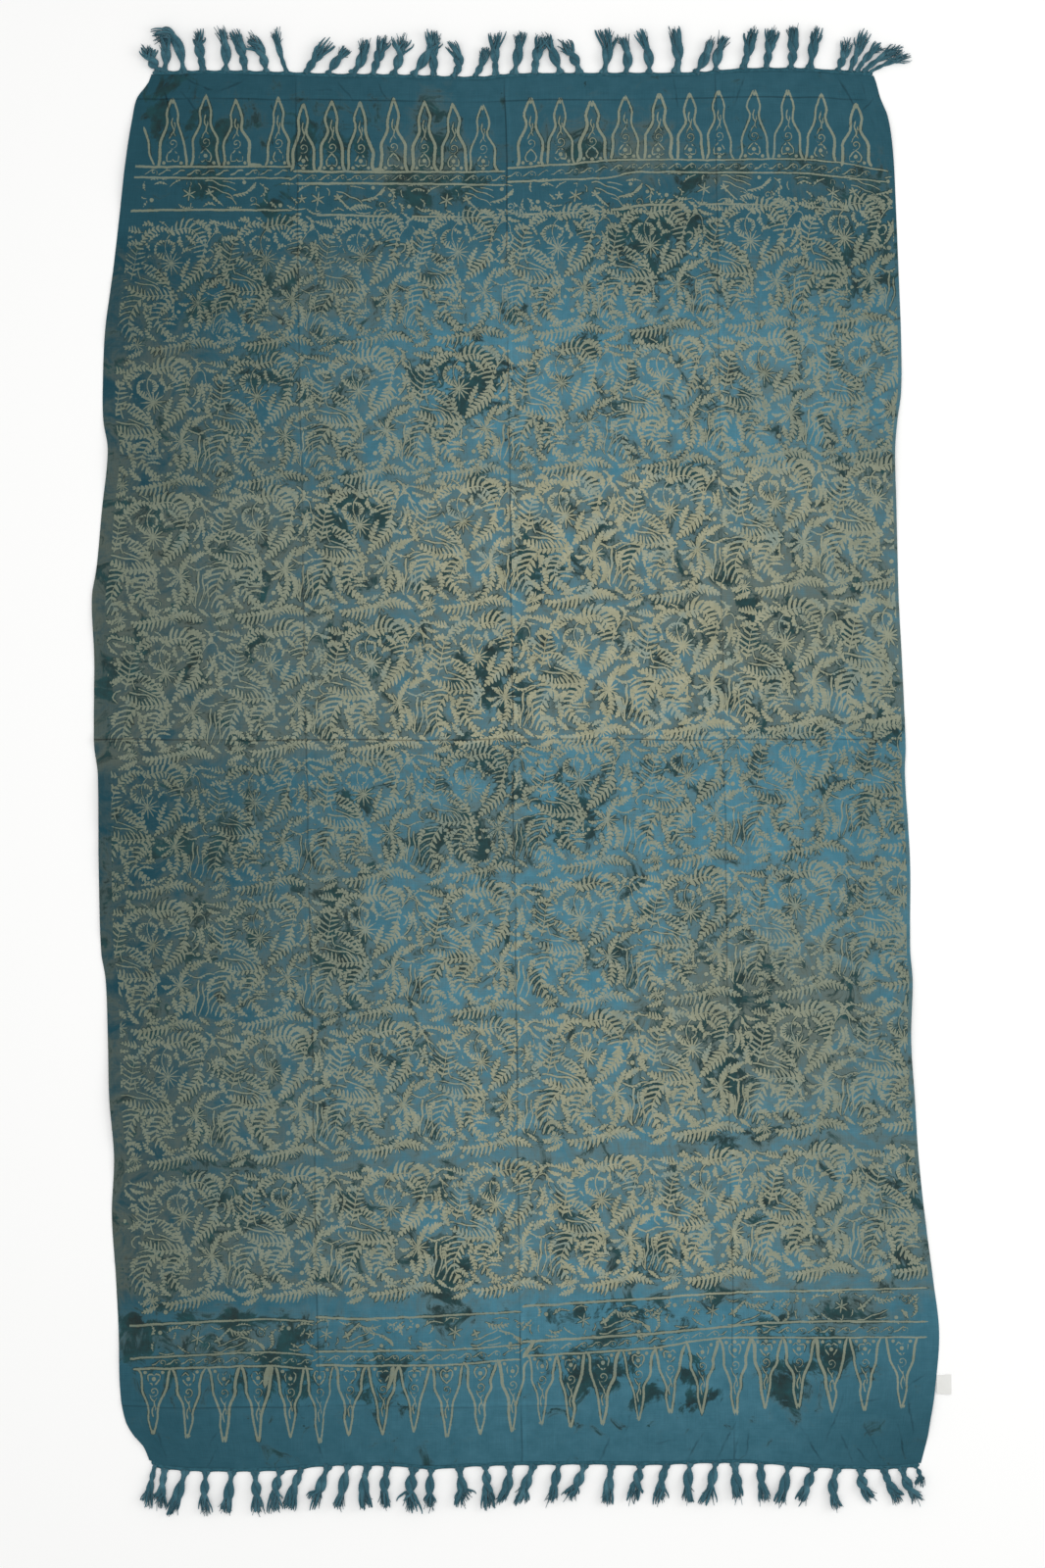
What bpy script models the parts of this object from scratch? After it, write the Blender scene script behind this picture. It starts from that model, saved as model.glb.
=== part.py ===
"""A batik sarong, laid out flat: the cloth panel, a rolled hem with twisted tassels at each end, and a
small folded label at one side. Metres, +Z up. X runs across the cloth and Y along it. The sarong lies on
z = 0, and the middle of its outer box is the origin."""

import math
from collections import namedtuple

import bmesh
import bpy
from mathutils import Vector

MM = 0.001

# Driving sizes, in millimetres
WIDTH = 1050
LENGTH = 1822
CLOTH_WALL = 1.6
SEAM_GAP = 0.3
HEM_WIDTH = 4.0
HEM_THICK = 2.4
FLOOR_CLEARANCE = 0.4

# The grid of the cloth: the widest column and row, and half the width of a fold line
COLUMN_STEP = 28
ROW_STEP = 32
FOLD_HALF_WIDTH = 9

# How far into the cloth the pull of a side and of an end is felt
SIDE_PULL = 300
END_PULL = 160
LIFT_DEPTH = 70

# A tassel is two plies wound round each other once. The sizes are for a full one.
PLY_HALF_THICK = 1.85
PLY_HALF_APART = 3.0
PLY_TIP_HALF_THICK = 1.3
PLY_TIP_HALF_APART = 2.4
ROOT_HALF_WIDTH = 1.2
ROOT_HALF_APART = 1.5
THIN_PLY = 0.5

LABEL_WIDTH = 23
LABEL_REACH = 19
LABEL_THICK = 1.4
LABEL_MIDDLE = -802
LABEL_TILT = math.radians(-8)
LABEL_FOLD_STEPS = 4

# The long sides. Each row is a height on the cloth, and how far it reaches there on the left and right.
Side = namedtuple("Side", "up left right")
SIDES = [
    Side(-913, -474, 527),
    Side(-882, -486, 535),
    Side(-869, -498, 538),
    Side(-850, -509, 541),
    Side(-812, -516, 547),
    Side(-735, -518, 553),
    Side(-658, -522, 544),
    Side(-581, -527, 534),
    Side(-504, -524, 526),
    Side(-428, -530, 521),
    Side(-351, -532, 516),
    Side(-274, -535, 518),
    Side(-236, -541, 515),
    Side(-120, -544, 515),
    Side(-5, -545, 508),
    Side(33, -550, 509),
    Side(148, -550, 504),
    Side(225, -553, 500),
    Side(264, -547, 499),
    Side(340, -540, 497),
    Side(417, -532, 495),
    Side(456, -538, 498),
    Side(494, -539, 503),
    Side(571, -536, 503),
    Side(648, -526, 500),
    Side(724, -517, 497),
    Side(801, -508, 493),
    Side(852, -500, 486),
    Side(878, -494, 476),
    Side(897, -480, 471),
    Side(913, -474, 465),
]

# The two hemmed ends. Each row is a place across the cloth, and the height of the hem's outer edge there.
EndPoint = namedtuple("EndPoint", "across up")
TOP_END = [
    EndPoint(-475, 913),
    EndPoint(-380, 914),
    EndPoint(-300, 912),
    EndPoint(-243, 910),
    EndPoint(-160, 909),
    EndPoint(-52, 906),
    EndPoint(-3, 910),
    EndPoint(95, 911),
    EndPoint(237, 912),
    EndPoint(297, 917),
    EndPoint(384, 917),
    EndPoint(424, 914),
    EndPoint(470, 911),
]
BOTTOM_END = [
    EndPoint(-476, -905),
    EndPoint(-461, -912),
    EndPoint(-404, -916),
    EndPoint(-307, -915),
    EndPoint(-244, -909),
    EndPoint(-166, -909),
    EndPoint(-110, -913),
    EndPoint(-40, -909),
    EndPoint(91, -907),
    EndPoint(163, -908),
    EndPoint(261, -905),
    EndPoint(320, -906),
    EndPoint(389, -911),
    EndPoint(481, -913),
    EndPoint(529, -909),
]

# Fold lines pressed into the cloth. A line stands at one place, from start to end, as a low ridge.
Fold = namedtuple("Fold", "runs place start end height")
FOLDS = [
    Fold("along", -272, -905, 905, 1.8),
    Fold("along", -3, -905, 905, 2.4),
    Fold("along", 273, -905, 905, 1.6),
    Fold("across", 878, -480, 480, 1.8),
    Fold("across", 40, -545, 505, 2.4),
    Fold("across", -832, -505, 60, 1.8),
]

# Places where a long side is drawn in and so stands off the floor a little
Lift = namedtuple("Lift", "side up length height")
LIFTS = [
    Lift("left", 800, 200, 4.0),
    Lift("left", 410, 150, 3.0),
    Lift("left", -60, 260, 3.0),
    Lift("left", -430, 300, 4.0),
    Lift("right", 830, 150, 3.5),
    Lift("right", 400, 220, 4.0),
    Lift("right", -330, 320, 3.0),
    Lift("right", -840, 130, 4.0),
]

# The tassels, left to right. A tassel starts at root, goes through its bend and ends at its tip. Across is
# measured from its root and out from the hem. Girth scales its plies, and at THIN_PLY it has only one.
Tassel = namedtuple("Tassel", "root bend_across bend_out tip_across tip_out girth")
TOP_TASSELS = [
    Tassel(-467, -14, 20, -21, 33, 0.9),
    Tassel(-459, 2, 13, 1, 25, 0.8),
    Tassel(-434, -12, 28, -32, 43, 1.0),
    Tassel(-408, -4, 24, -9, 50, 1.0),
    Tassel(-379, 1, 24, -5, 51, 1.0),
    Tassel(-353, -5, 26, -13, 49, 1.0),
    Tassel(-326, -6, 24, -19, 44, 1.0),
    Tassel(-299, -9, 27, -13, 52, 0.6),
    Tassel(-273, 12, 18, 24, 35, 1.0),
    Tassel(-244, 11, 16, 24, 30, 0.9),
    Tassel(-213, 12, 18, 15, 40, 1.0),
    Tassel(-186, 7, 21, 16, 44, 1.0),
    Tassel(-159, 8, 23, 12, 47, 1.0),
    Tassel(-133, 14, 20, 30, 48, 1.0),
    Tassel(-107, 0, 24, 0, 51, 1.0),
    Tassel(-81, 7, 18, -3, 38, 1.0),
    Tassel(-53, 9, 16, 13, 34, 0.8),
    Tassel(-26, -1, 24, -1, 49, 0.9),
    Tassel(-2, 5, 23, 8, 50, 1.0),
    Tassel(25, 3, 23, 10, 44, 1.0),
    Tassel(58, -8, 22, -17, 47, 1.0),
    Tassel(83, -8, 20, -22, 37, 1.0),
    Tassel(115, 5, 25, 5, 48, 1.0),
    Tassel(144, 2, 22, -4, 44, 1.0),
    Tassel(174, -1, 23, -10, 48, 1.0),
    Tassel(209, 3, 24, -4, 55, 1.1),
    Tassel(236, 12, 20, 16, 40, 1.0),
    Tassel(261, 3, 20, 12, 43, 1.0),
    Tassel(297, 7, 23, 13, 47, 1.0),
    Tassel(327, 4, 23, 9, 48, 1.0),
    Tassel(359, 3, 24, 1, 50, 1.1),
    Tassel(384, 4, 23, 8, 49, 1.0),
    Tassel(421, 7, 17, 13, 35, 0.9),
    Tassel(437, 8, 21, 20, 43, 0.8),
    Tassel(446, 12, 17, 31, 33, 0.7),
    Tassel(455, 18, 15, 45, 29, 0.7),
    Tassel(463, 22, 11, 49, 21, THIN_PLY),
]
BOTTOM_TASSELS = [
    Tassel(-471, -5, 24, -10, 51, 0.7),
    Tassel(-458, -3, 22, -6, 48, 0.9),
    Tassel(-431, -8, 25, -19, 51, 1.0),
    Tassel(-404, -2, 26, -3, 52, 0.9),
    Tassel(-370, -4, 25, -8, 52, 1.0),
    Tassel(-340, 2, 25, 5, 52, 1.0),
    Tassel(-307, -6, 24, -7, 48, 1.0),
    Tassel(-280, -9, 23, -17, 48, 1.0),
    Tassel(-245, -9, 24, -16, 50, 1.0),
    Tassel(-219, -6, 25, -11, 54, 1.0),
    Tassel(-193, -5, 25, -2, 51, 1.0),
    Tassel(-167, -4, 25, -4, 50, 1.0),
    Tassel(-133, -4, 24, -6, 49, 1.2),
    Tassel(-110, -2, 24, -2, 49, 0.9),
    Tassel(-73, 3, 22, 7, 44, 1.0),
    Tassel(-39, 2, 25, 4, 51, 1.0),
    Tassel(-8, -2, 22, -12, 45, 1.0),
    Tassel(23, -8, 20, -19, 44, 1.0),
    Tassel(56, -5, 24, -10, 48, 1.0),
    Tassel(90, -8, 20, -20, 43, 1.0),
    Tassel(125, -3, 22, -7, 49, 1.0),
    Tassel(163, -4, 18, -11, 45, 1.1),
    Tassel(197, -7, 23, -8, 48, 1.0),
    Tassel(228, -3, 21, -2, 45, 1.0),
    Tassel(261, -5, 22, -11, 48, 1.0),
    Tassel(286, 2, 22, 3, 46, 1.1),
    Tassel(320, 1, 23, 5, 46, 1.0),
    Tassel(356, -5, 23, -11, 47, 1.0),
    Tassel(389, -8, 20, -16, 42, 1.0),
    Tassel(420, -6, 23, 0, 48, 1.0),
    Tassel(451, 2, 19, 13, 39, 1.1),
    Tassel(481, 8, 20, 21, 41, 1.0),
    Tassel(505, 7, 21, 22, 41, 1.0),
    Tassel(523, 5, 10, 6, 19, THIN_PLY),
]

# Where the rings of a ply stand: how far along the tassel, and how far it has turned by then
PlyRing = namedtuple("PlyRing", "along turn")
PLY_RINGS = [PlyRing(0.15, 45), PlyRing(0.38, 135), PlyRing(0.60, 225), PlyRing(0.81, 315)]

# Each material: its colour, roughness and metallic value
Finish = namedtuple("Finish", "name red green blue roughness metallic")
BATIK_RAYON = Finish("batik_rayon", 0.10, 0.20, 0.22, 0.85, 0.0)
TWISTED_YARN = Finish("twisted_yarn", 0.03, 0.10, 0.13, 0.9, 0.0)
WOVEN_TAPE = Finish("woven_tape", 0.82, 0.82, 0.80, 0.75, 0.0)


def make_material(finish):
    material = bpy.data.materials.new(finish.name)
    material.use_nodes = True
    shader = material.node_tree.nodes["Principled BSDF"]
    shader.inputs["Base Color"].default_value = (finish.red, finish.green, finish.blue, 1)
    shader.inputs["Roughness"].default_value = finish.roughness
    shader.inputs["Metallic"].default_value = finish.metallic
    return material


def read_smoothly(table, key, column, at):
    """Reads a column of a table between its rows, on a curve that passes through each row."""
    keys = [getattr(row, key) for row in table]
    values = [getattr(row, column) for row in table]
    last = len(keys) - 1
    if at <= keys[0]:
        return values[0]
    if at >= keys[last]:
        return values[last]
    i = max(n for n in range(last) if keys[n] <= at)

    def slope(n):
        before, after = max(n - 1, 0), min(n + 1, last)
        return (values[after] - values[before]) / (keys[after] - keys[before])

    span = keys[i + 1] - keys[i]
    t = (at - keys[i]) / span
    start = (2 * t**3 - 3 * t**2 + 1) * values[i] + (t**3 - 2 * t**2 + t) * span * slope(i)
    end = (3 * t**2 - 2 * t**3) * values[i + 1] + (t**3 - t**2) * span * slope(i + 1)
    return start + end


def top_hem(across):
    return read_smoothly(TOP_END, "across", "up", across)


def bottom_hem(across):
    return read_smoothly(BOTTOM_END, "across", "up", across)


def fade(distance, reach):
    """1 at no distance and 0 at reach and past it."""
    return max(0.0, 1 - distance / reach) ** 2


def laid_place(across, up):
    """Where a point of the straight cut cloth lies once its sides and ends are pulled out of true."""
    inset = HEM_WIDTH + SEAM_GAP
    x, y = across, up
    for _ in range(4):
        left = read_smoothly(SIDES, "up", "left", y) + WIDTH / 2
        right = read_smoothly(SIDES, "up", "right", y) - WIDTH / 2
        top = top_hem(x) - inset - LENGTH / 2
        bottom = bottom_hem(x) + inset + LENGTH / 2
        x = across + left * fade(across + WIDTH / 2, SIDE_PULL)
        x += right * fade(WIDTH / 2 - across, SIDE_PULL)
        y = up + top * fade(LENGTH / 2 - up, END_PULL) + bottom * fade(up + LENGTH / 2, END_PULL)
    return x, y


def fold_height(fold, across, up):
    """The height that one pressed fold line gives a point of the cloth."""
    off, along = (across - fold.place, up) if fold.runs == "along" else (up - fold.place, across)
    inside = min(along - fold.start, fold.end - along) / FOLD_HALF_WIDTH
    if abs(off) >= FOLD_HALF_WIDTH or inside <= 0:
        return 0.0
    ridge = 1 - abs(off) / FOLD_HALF_WIDTH
    return fold.height * ridge * min(1.0, inside)


def lift_height(lift, across, up):
    """The height that one lifted stretch of a side gives a point of the cloth."""
    from_side = across + WIDTH / 2 if lift.side == "left" else WIDTH / 2 - across
    phase = (up - lift.up) / lift.length
    if abs(phase) >= 0.5:
        return 0.0
    return lift.height * fade(from_side, LIFT_DEPTH) * math.cos(math.pi * phase) ** 2


def cloth_height(across, up):
    """How far the cloth's underside stands off the floor. Its corners stay down, at the hems."""
    folds = max(fold_height(fold, across, up) for fold in FOLDS)
    lifts = sum(lift_height(lift, across, up) for lift in LIFTS)
    return folds + lifts * (1 - fade(LENGTH / 2 - abs(up), 40))


def split_between(stops, step):
    """The stops with evenly spaced places added, so that none are further apart than step."""
    places = [stops[0]]
    for low, high in zip(stops, stops[1:]):
        count = math.ceil((high - low) / step)
        places += [low + (high - low) * (n + 1) / count for n in range(count)]
    return places


def grid_stops(runs, half):
    """The two outer edges, with both shoulders and the crest of every fold line that runs this way."""
    crests = sorted(fold.place for fold in FOLDS if fold.runs == runs)
    shoulders = [place + n * FOLD_HALF_WIDTH for place in crests for n in (-1, 0, 1)]
    return [-half, *shoulders, half]


COLUMNS = split_between(grid_stops("along", WIDTH / 2), COLUMN_STEP)
ROWS = split_between(grid_stops("across", LENGTH / 2), ROW_STEP)


def finish_object(name, mesh_points, finish):
    """Turns a bmesh in millimetres into a named object in metres, its faces pointing outwards."""
    bmesh.ops.recalc_face_normals(mesh_points, faces=mesh_points.faces)
    bmesh.ops.scale(mesh_points, vec=(MM, MM, MM), verts=mesh_points.verts)
    mesh = bpy.data.meshes.new(name)
    mesh_points.to_mesh(mesh)
    mesh_points.free()
    mesh.materials.append(make_material(finish))
    mesh.shade_smooth()
    mesh.set_sharp_from_angle(angle=math.radians(40))
    made = bpy.data.objects.new(name, mesh)
    bpy.context.scene.collection.objects.link(made)
    return made


def make_cloth_panel():
    """One closed wall: a grid for the face, the same grid a wall's thickness below it, and four edges."""
    bm = bmesh.new()
    face, underside = [], []
    for up in ROWS:
        for grid, rise in ((face, CLOTH_WALL), (underside, 0.0)):
            row = []
            for across in COLUMNS:
                x, y = laid_place(across, up)
                row.append(bm.verts.new((x, y, cloth_height(across, up) + rise)))
            grid.append(row)
    last_row, last_column = len(ROWS) - 1, len(COLUMNS) - 1
    for j in range(last_row):
        for i in range(last_column):
            bm.faces.new((face[j][i], face[j][i + 1], face[j + 1][i + 1], face[j + 1][i]))
            below = (underside[j][i], underside[j + 1][i], underside[j + 1][i + 1], underside[j][i + 1])
            bm.faces.new(below)
    for j in range(last_row):
        for i in (0, last_column):
            bm.faces.new((face[j][i], face[j + 1][i], underside[j + 1][i], underside[j][i]))
    for i in range(last_column):
        for j in (0, last_row):
            bm.faces.new((face[j][i], face[j][i + 1], underside[j][i + 1], underside[j][i]))
    return finish_object("cloth_panel", bm, BATIK_RAYON)


def tassel_point(tassel, along):
    """A point of the tassel's middle line, across and out from its root, on a curve through its bend."""

    def through(bend, tip):
        return (4 * bend - tip) * along + 2 * (tip - 2 * bend) * along**2

    across = through(tassel.bend_across, tassel.tip_across)
    out = through(tassel.bend_out, tassel.tip_out)
    return Vector((across, out, 0))


def ply_ring(tassel, side, hem_at, end, along, turn, thick, apart, middle):
    """The four corners of one ring of a ply. Side is 1 or -1, for which ply it is."""
    step = 0.02
    heading = tassel_point(tassel, min(along + step, 1)) - tassel_point(tassel, along - step)
    heading.normalize()
    sideways = Vector((heading.y, -heading.x, 0))
    angle = math.radians(turn)
    centre = tassel_point(tassel, along) + sideways * (side * apart * math.cos(angle))
    centre.z = middle + side * apart * math.sin(angle)
    corners = []
    for across, up in ((-1, -1), (1, -1), (1, 1), (-1, 1)):
        point = centre + sideways * (across * thick) + Vector((0, 0, up * thick))
        corners.append(Vector((tassel.root + point.x, hem_at + end * point.y, point.z)))
    return corners


def grow_ply(bm, root, tassel, side, hem_at, end):
    """Grows one ply from a square of the hem's outer side, ring by ring, and closes its tip."""
    thick = PLY_HALF_THICK * tassel.girth
    apart = PLY_HALF_APART * tassel.girth
    if tassel.girth <= THIN_PLY:
        apart = 0.0
    axis_height = FLOOR_CLEARANCE + thick + apart * math.sin(math.radians(45))
    rings = [
        ply_ring(tassel, side, hem_at, end, ring.along, ring.turn, thick, apart, axis_height)
        for ring in PLY_RINGS
    ]
    tip_thick = PLY_TIP_HALF_THICK * tassel.girth
    tip_apart = PLY_TIP_HALF_APART * tassel.girth if apart else 0.0
    tip_height = FLOOR_CLEARANCE + tip_thick
    rings.append(ply_ring(tassel, side, hem_at, end, 1.0, 360, tip_thick, tip_apart, tip_height))
    before = root
    for corners in rings:
        ring = [bm.verts.new(corner) for corner in corners]
        for n in range(4):
            bm.faces.new((before[n], before[(n + 1) % 4], ring[(n + 1) % 4], ring[n]))
        before = ring
    bm.faces.new(before)


def panel_end(end):
    """The corners along one end of the cloth panel, left to right. End is 1 at the top and -1 below."""
    return [Vector(laid_place(across, end * LENGTH / 2)) for across in COLUMNS]


def between_corners(corners, x):
    """The height at x of the straight runs between the corners, or of the nearest run's line past them."""
    i = max([n for n in range(1, len(corners) - 1) if corners[n].x <= x], default=0)
    run = corners[i + 1] - corners[i]
    return corners[i].y + run.y * (x - corners[i].x) / run.x


def make_fringe(name, end, tassels, from_x, to_x):
    """The rolled hem of one end and its tassels, in one closed body. It follows the panel's own corners, a
    seam's gap out from them. End is 1 at the top and -1 below."""
    bm = bmesh.new()
    seam = panel_end(end)
    places = {from_x: None, to_x: None}
    for tassel in tassels:
        for side in (-1, 1):
            if tassel.girth <= THIN_PLY and side == -1:
                continue
            shift = 0 if tassel.girth <= THIN_PLY else side * ROOT_HALF_APART
            places[tassel.root + shift - ROOT_HALF_WIDTH] = (tassel, side)
            places[tassel.root + shift + ROOT_HALF_WIDTH] = None
    for corner in seam:
        if min(abs(corner.x - place) for place in places) > ROOT_HALF_WIDTH and from_x < corner.x < to_x:
            places[corner.x] = None
    order = sorted(places)
    rings = []
    for x in order:
        inner = between_corners(seam, x) + end * SEAM_GAP
        outer = inner + end * HEM_WIDTH
        corners = ((x, inner, 0), (x, outer, 0), (x, outer, HEM_THICK), (x, inner, HEM_THICK))
        rings.append([bm.verts.new(corner) for corner in corners])
    for x, ring, after in zip(order, rings, rings[1:]):
        for n in range(4):
            if n == 1 and places[x]:
                tassel, side = places[x]
                root = (ring[1], after[1], after[2], ring[2])
                hem_at = between_corners(seam, tassel.root) + end * (SEAM_GAP + HEM_WIDTH)
                grow_ply(bm, root, tassel, side, hem_at, end)
            else:
                bm.faces.new((ring[n], ring[(n + 1) % 4], after[(n + 1) % 4], after[n]))
    bm.faces.new(rings[0])
    bm.faces.new(rings[-1])
    return finish_object(name, bm, TWISTED_YARN)


def make_side_label():
    """A bare tape folded double, with its fold outwards, sewn in at the right side near the bottom end."""
    bm = bmesh.new()
    radius = LABEL_THICK / 2
    profile = [(0, 0)]
    for n in range(LABEL_FOLD_STEPS + 1):
        angle = math.pi * (n / LABEL_FOLD_STEPS - 0.5)
        profile.append((LABEL_REACH - radius + radius * math.cos(angle), radius + radius * math.sin(angle)))
    profile.append((0, LABEL_THICK))
    side_at = [read_smoothly(SIDES, "up", "right", LABEL_MIDDLE + n * LABEL_WIDTH / 2) for n in (-1, 0, 1)]
    start = max(side_at) + SEAM_GAP
    ends = []
    for half in (-1, 1):
        across = half * LABEL_WIDTH / 2
        lean = across * math.tan(LABEL_TILT)
        corners = [(start + x, LABEL_MIDDLE + across - x / LABEL_REACH * lean, z) for x, z in profile]
        ends.append([bm.verts.new(corner) for corner in corners])
    count = len(profile)
    for n in range(count):
        bm.faces.new((ends[0][n], ends[0][(n + 1) % count], ends[1][(n + 1) % count], ends[1][n]))
    bm.faces.new(ends[0])
    bm.faces.new(ends[1])
    return finish_object("side_label", bm, WOVEN_TAPE)


def centre_on_origin(made):
    """Moves all the meshes alike, so that the middle of their outer box is over the origin."""
    points = [vertex.co for piece in made for vertex in piece.data.vertices]
    x = (min(p.x for p in points) + max(p.x for p in points)) / 2
    y = (min(p.y for p in points) + max(p.y for p in points)) / 2
    for piece in made:
        for vertex in piece.data.vertices:
            vertex.co -= Vector((x, y, 0))
    print("moved by", round(-x / MM, 2), round(-y / MM, 2), "mm")


def main():
    for old in list(bpy.data.objects):
        bpy.data.objects.remove(old)
    made = [
        make_cloth_panel(),
        make_fringe("fringe_top", 1, TOP_TASSELS, -474, 468),
        make_fringe("fringe_bottom", -1, BOTTOM_TASSELS, -475.5, 528),
        make_side_label(),
    ]
    centre_on_origin(made)


main()
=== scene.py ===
# %% [markdown]
# # A batik sarong, laid out flat
#
# A sarong is one length of thin rayon, a little over a metre wide. Its pattern is stamped on in hot wax with
# a copper block, the cloth is dyed, and the wax is boiled out again, so that the stamped strokes stay pale.
# The hem of each end is rolled, and bundles of threads beside it are twisted into short tassels.
#
# A plain model of it exists already, as solids of the right size. This lesson puts the real surface on it:
# thin cloth with its creases, the wax pattern, the dye, the twisted yarn and a small tape label.

import math
from collections import namedtuple

import bmesh
import bpy
import numpy as np
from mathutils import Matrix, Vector, noise


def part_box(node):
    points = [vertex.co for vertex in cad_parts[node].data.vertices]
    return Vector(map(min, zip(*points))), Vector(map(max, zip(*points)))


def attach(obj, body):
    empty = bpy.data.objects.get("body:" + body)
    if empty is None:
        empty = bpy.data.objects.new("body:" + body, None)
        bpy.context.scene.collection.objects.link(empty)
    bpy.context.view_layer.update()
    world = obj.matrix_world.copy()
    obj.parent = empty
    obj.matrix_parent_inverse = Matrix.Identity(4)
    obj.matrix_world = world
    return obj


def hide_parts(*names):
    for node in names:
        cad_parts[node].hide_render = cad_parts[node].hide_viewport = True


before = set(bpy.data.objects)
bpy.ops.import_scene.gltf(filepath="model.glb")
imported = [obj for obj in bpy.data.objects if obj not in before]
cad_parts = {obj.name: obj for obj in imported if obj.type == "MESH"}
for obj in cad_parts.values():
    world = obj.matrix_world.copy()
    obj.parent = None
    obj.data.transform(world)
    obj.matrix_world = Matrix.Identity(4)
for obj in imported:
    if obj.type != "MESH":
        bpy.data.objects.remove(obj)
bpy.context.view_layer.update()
print("solids:", sorted(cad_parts))

# %% [markdown]
# ## Three small helpers
#
# Colours are written as the hex codes that a paint program shows. A shader works with linear light, so one
# function turns them over. A second function adds a node to a tree. It fills the node's inputs in their
# order, and a value that is itself a node means a link from that node's first output. A third puts what is
# made into the scene.

# %% Colours, nodes and objects
MM = 0.001

# The kinds of node that come up most
MATH, VECTOR_MATH, MIX = "ShaderNodeMath", "ShaderNodeVectorMath", "ShaderNodeMix"
NOISE, REMAP, RANDOM = "ShaderNodeTexNoise", "ShaderNodeMapRange", "FunctionNodeRandomValue"


def colour(code):
    """A hex colour as the linear red, green, blue and alpha that a shader takes."""
    parts = [int(code[n:n + 2], 16) / 255 for n in (1, 3, 5)]
    return (*[p / 12.92 if p <= 0.04045 else ((p + 0.055) / 1.055) ** 2.4 for p in parts], 1.0)


def add(tree, kind, *values, named=None, **settings):
    """Adds a node with its settings, and sets or links its inputs, by their order or by name."""
    node = tree.nodes.new(kind)
    for name, value in settings.items():
        setattr(node, name, value)
    inputs = list(zip([socket for socket in node.inputs if socket.enabled], values))
    inputs += [(node.inputs[name], value) for name, value in (named or {}).items()]
    for socket, value in inputs:
        if isinstance(value, bpy.types.Node):
            value = next(output for output in value.outputs if output.enabled)
        if isinstance(value, bpy.types.NodeSocket):
            tree.links.new(value, socket)
        elif value is not None:
            socket.default_value = value
    return node


def put_in_scene(name, data):
    """Makes an object of a mesh, a curve, a light or a camera, and puts it in the scene."""
    made = bpy.data.objects.new(name, data)
    bpy.context.scene.collection.objects.link(made)
    return made


print("pure white is", colour("#ffffff"), "in linear light")

# %% [markdown]
# ## How the cloth lies
#
# The cloth was cut straight, 1050 by 1822 mm, but it doesn't lie straight: the washing has drawn its corners
# in and its sides wave. The easiest way to get that is to think of the cloth twice. Each point has a place
# on the straight cut cloth, and a function says where that point lies on the floor. The pull of a side fades
# out over 300 mm and the pull of an end over 160 mm, as it does in a real cloth.

# %% The outline of the laid-out cloth, in millimetres
WIDTH = 1050
LENGTH = 1822
SIDE_PULL = 300
END_PULL = 160
HEM_INSET = 4.3

Side = namedtuple("Side", "up left right")
SIDES = [
    Side(-913, -474, 527),
    Side(-882, -486, 535),
    Side(-869, -498, 538),
    Side(-850, -509, 541),
    Side(-812, -516, 547),
    Side(-735, -518, 553),
    Side(-658, -522, 544),
    Side(-581, -527, 534),
    Side(-504, -524, 526),
    Side(-428, -530, 521),
    Side(-351, -532, 516),
    Side(-274, -535, 518),
    Side(-236, -541, 515),
    Side(-120, -544, 515),
    Side(-5, -545, 508),
    Side(33, -550, 509),
    Side(148, -550, 504),
    Side(225, -553, 500),
    Side(264, -547, 499),
    Side(340, -540, 497),
    Side(417, -532, 495),
    Side(456, -538, 498),
    Side(494, -539, 503),
    Side(571, -536, 503),
    Side(648, -526, 500),
    Side(724, -517, 497),
    Side(801, -508, 493),
    Side(852, -500, 486),
    Side(878, -494, 476),
    Side(897, -480, 471),
    Side(913, -474, 465),
]
EndPoint = namedtuple("EndPoint", "across up")
TOP_END = [
    EndPoint(-475, 913),
    EndPoint(-380, 914),
    EndPoint(-300, 912),
    EndPoint(-243, 910),
    EndPoint(-160, 909),
    EndPoint(-52, 906),
    EndPoint(-3, 910),
    EndPoint(95, 911),
    EndPoint(237, 912),
    EndPoint(297, 917),
    EndPoint(384, 917),
    EndPoint(424, 914),
    EndPoint(470, 911),
]
BOTTOM_END = [
    EndPoint(-476, -905),
    EndPoint(-461, -912),
    EndPoint(-404, -916),
    EndPoint(-307, -915),
    EndPoint(-244, -909),
    EndPoint(-166, -909),
    EndPoint(-110, -913),
    EndPoint(-40, -909),
    EndPoint(91, -907),
    EndPoint(163, -908),
    EndPoint(261, -905),
    EndPoint(320, -906),
    EndPoint(389, -911),
    EndPoint(481, -913),
    EndPoint(529, -909),
]


def read_smoothly(table, key, column, at):
    """Reads a column of a table between its rows, on a curve that passes through each row."""
    keys = np.array([getattr(row, key) for row in table], float)
    values = np.array([getattr(row, column) for row in table], float)
    slopes = np.gradient(values, keys)
    slopes[1:-1] = (values[2:] - values[:-2]) / (keys[2:] - keys[:-2])
    at = np.clip(at, keys[0], keys[-1])
    i = np.clip(np.searchsorted(keys, at, side="right") - 1, 0, len(keys) - 2)
    span = keys[i + 1] - keys[i]
    t = (at - keys[i]) / span
    start = (2 * t**3 - 3 * t**2 + 1) * values[i] + (t**3 - 2 * t**2 + t) * span * slopes[i]
    end = (3 * t**2 - 2 * t**3) * values[i + 1] + (t**3 - t**2) * span * slopes[i + 1]
    return start + end


def fade(distance, reach):
    """1 at no distance and 0 at reach and past it."""
    return np.maximum(0.0, 1 - distance / reach) ** 2


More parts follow.
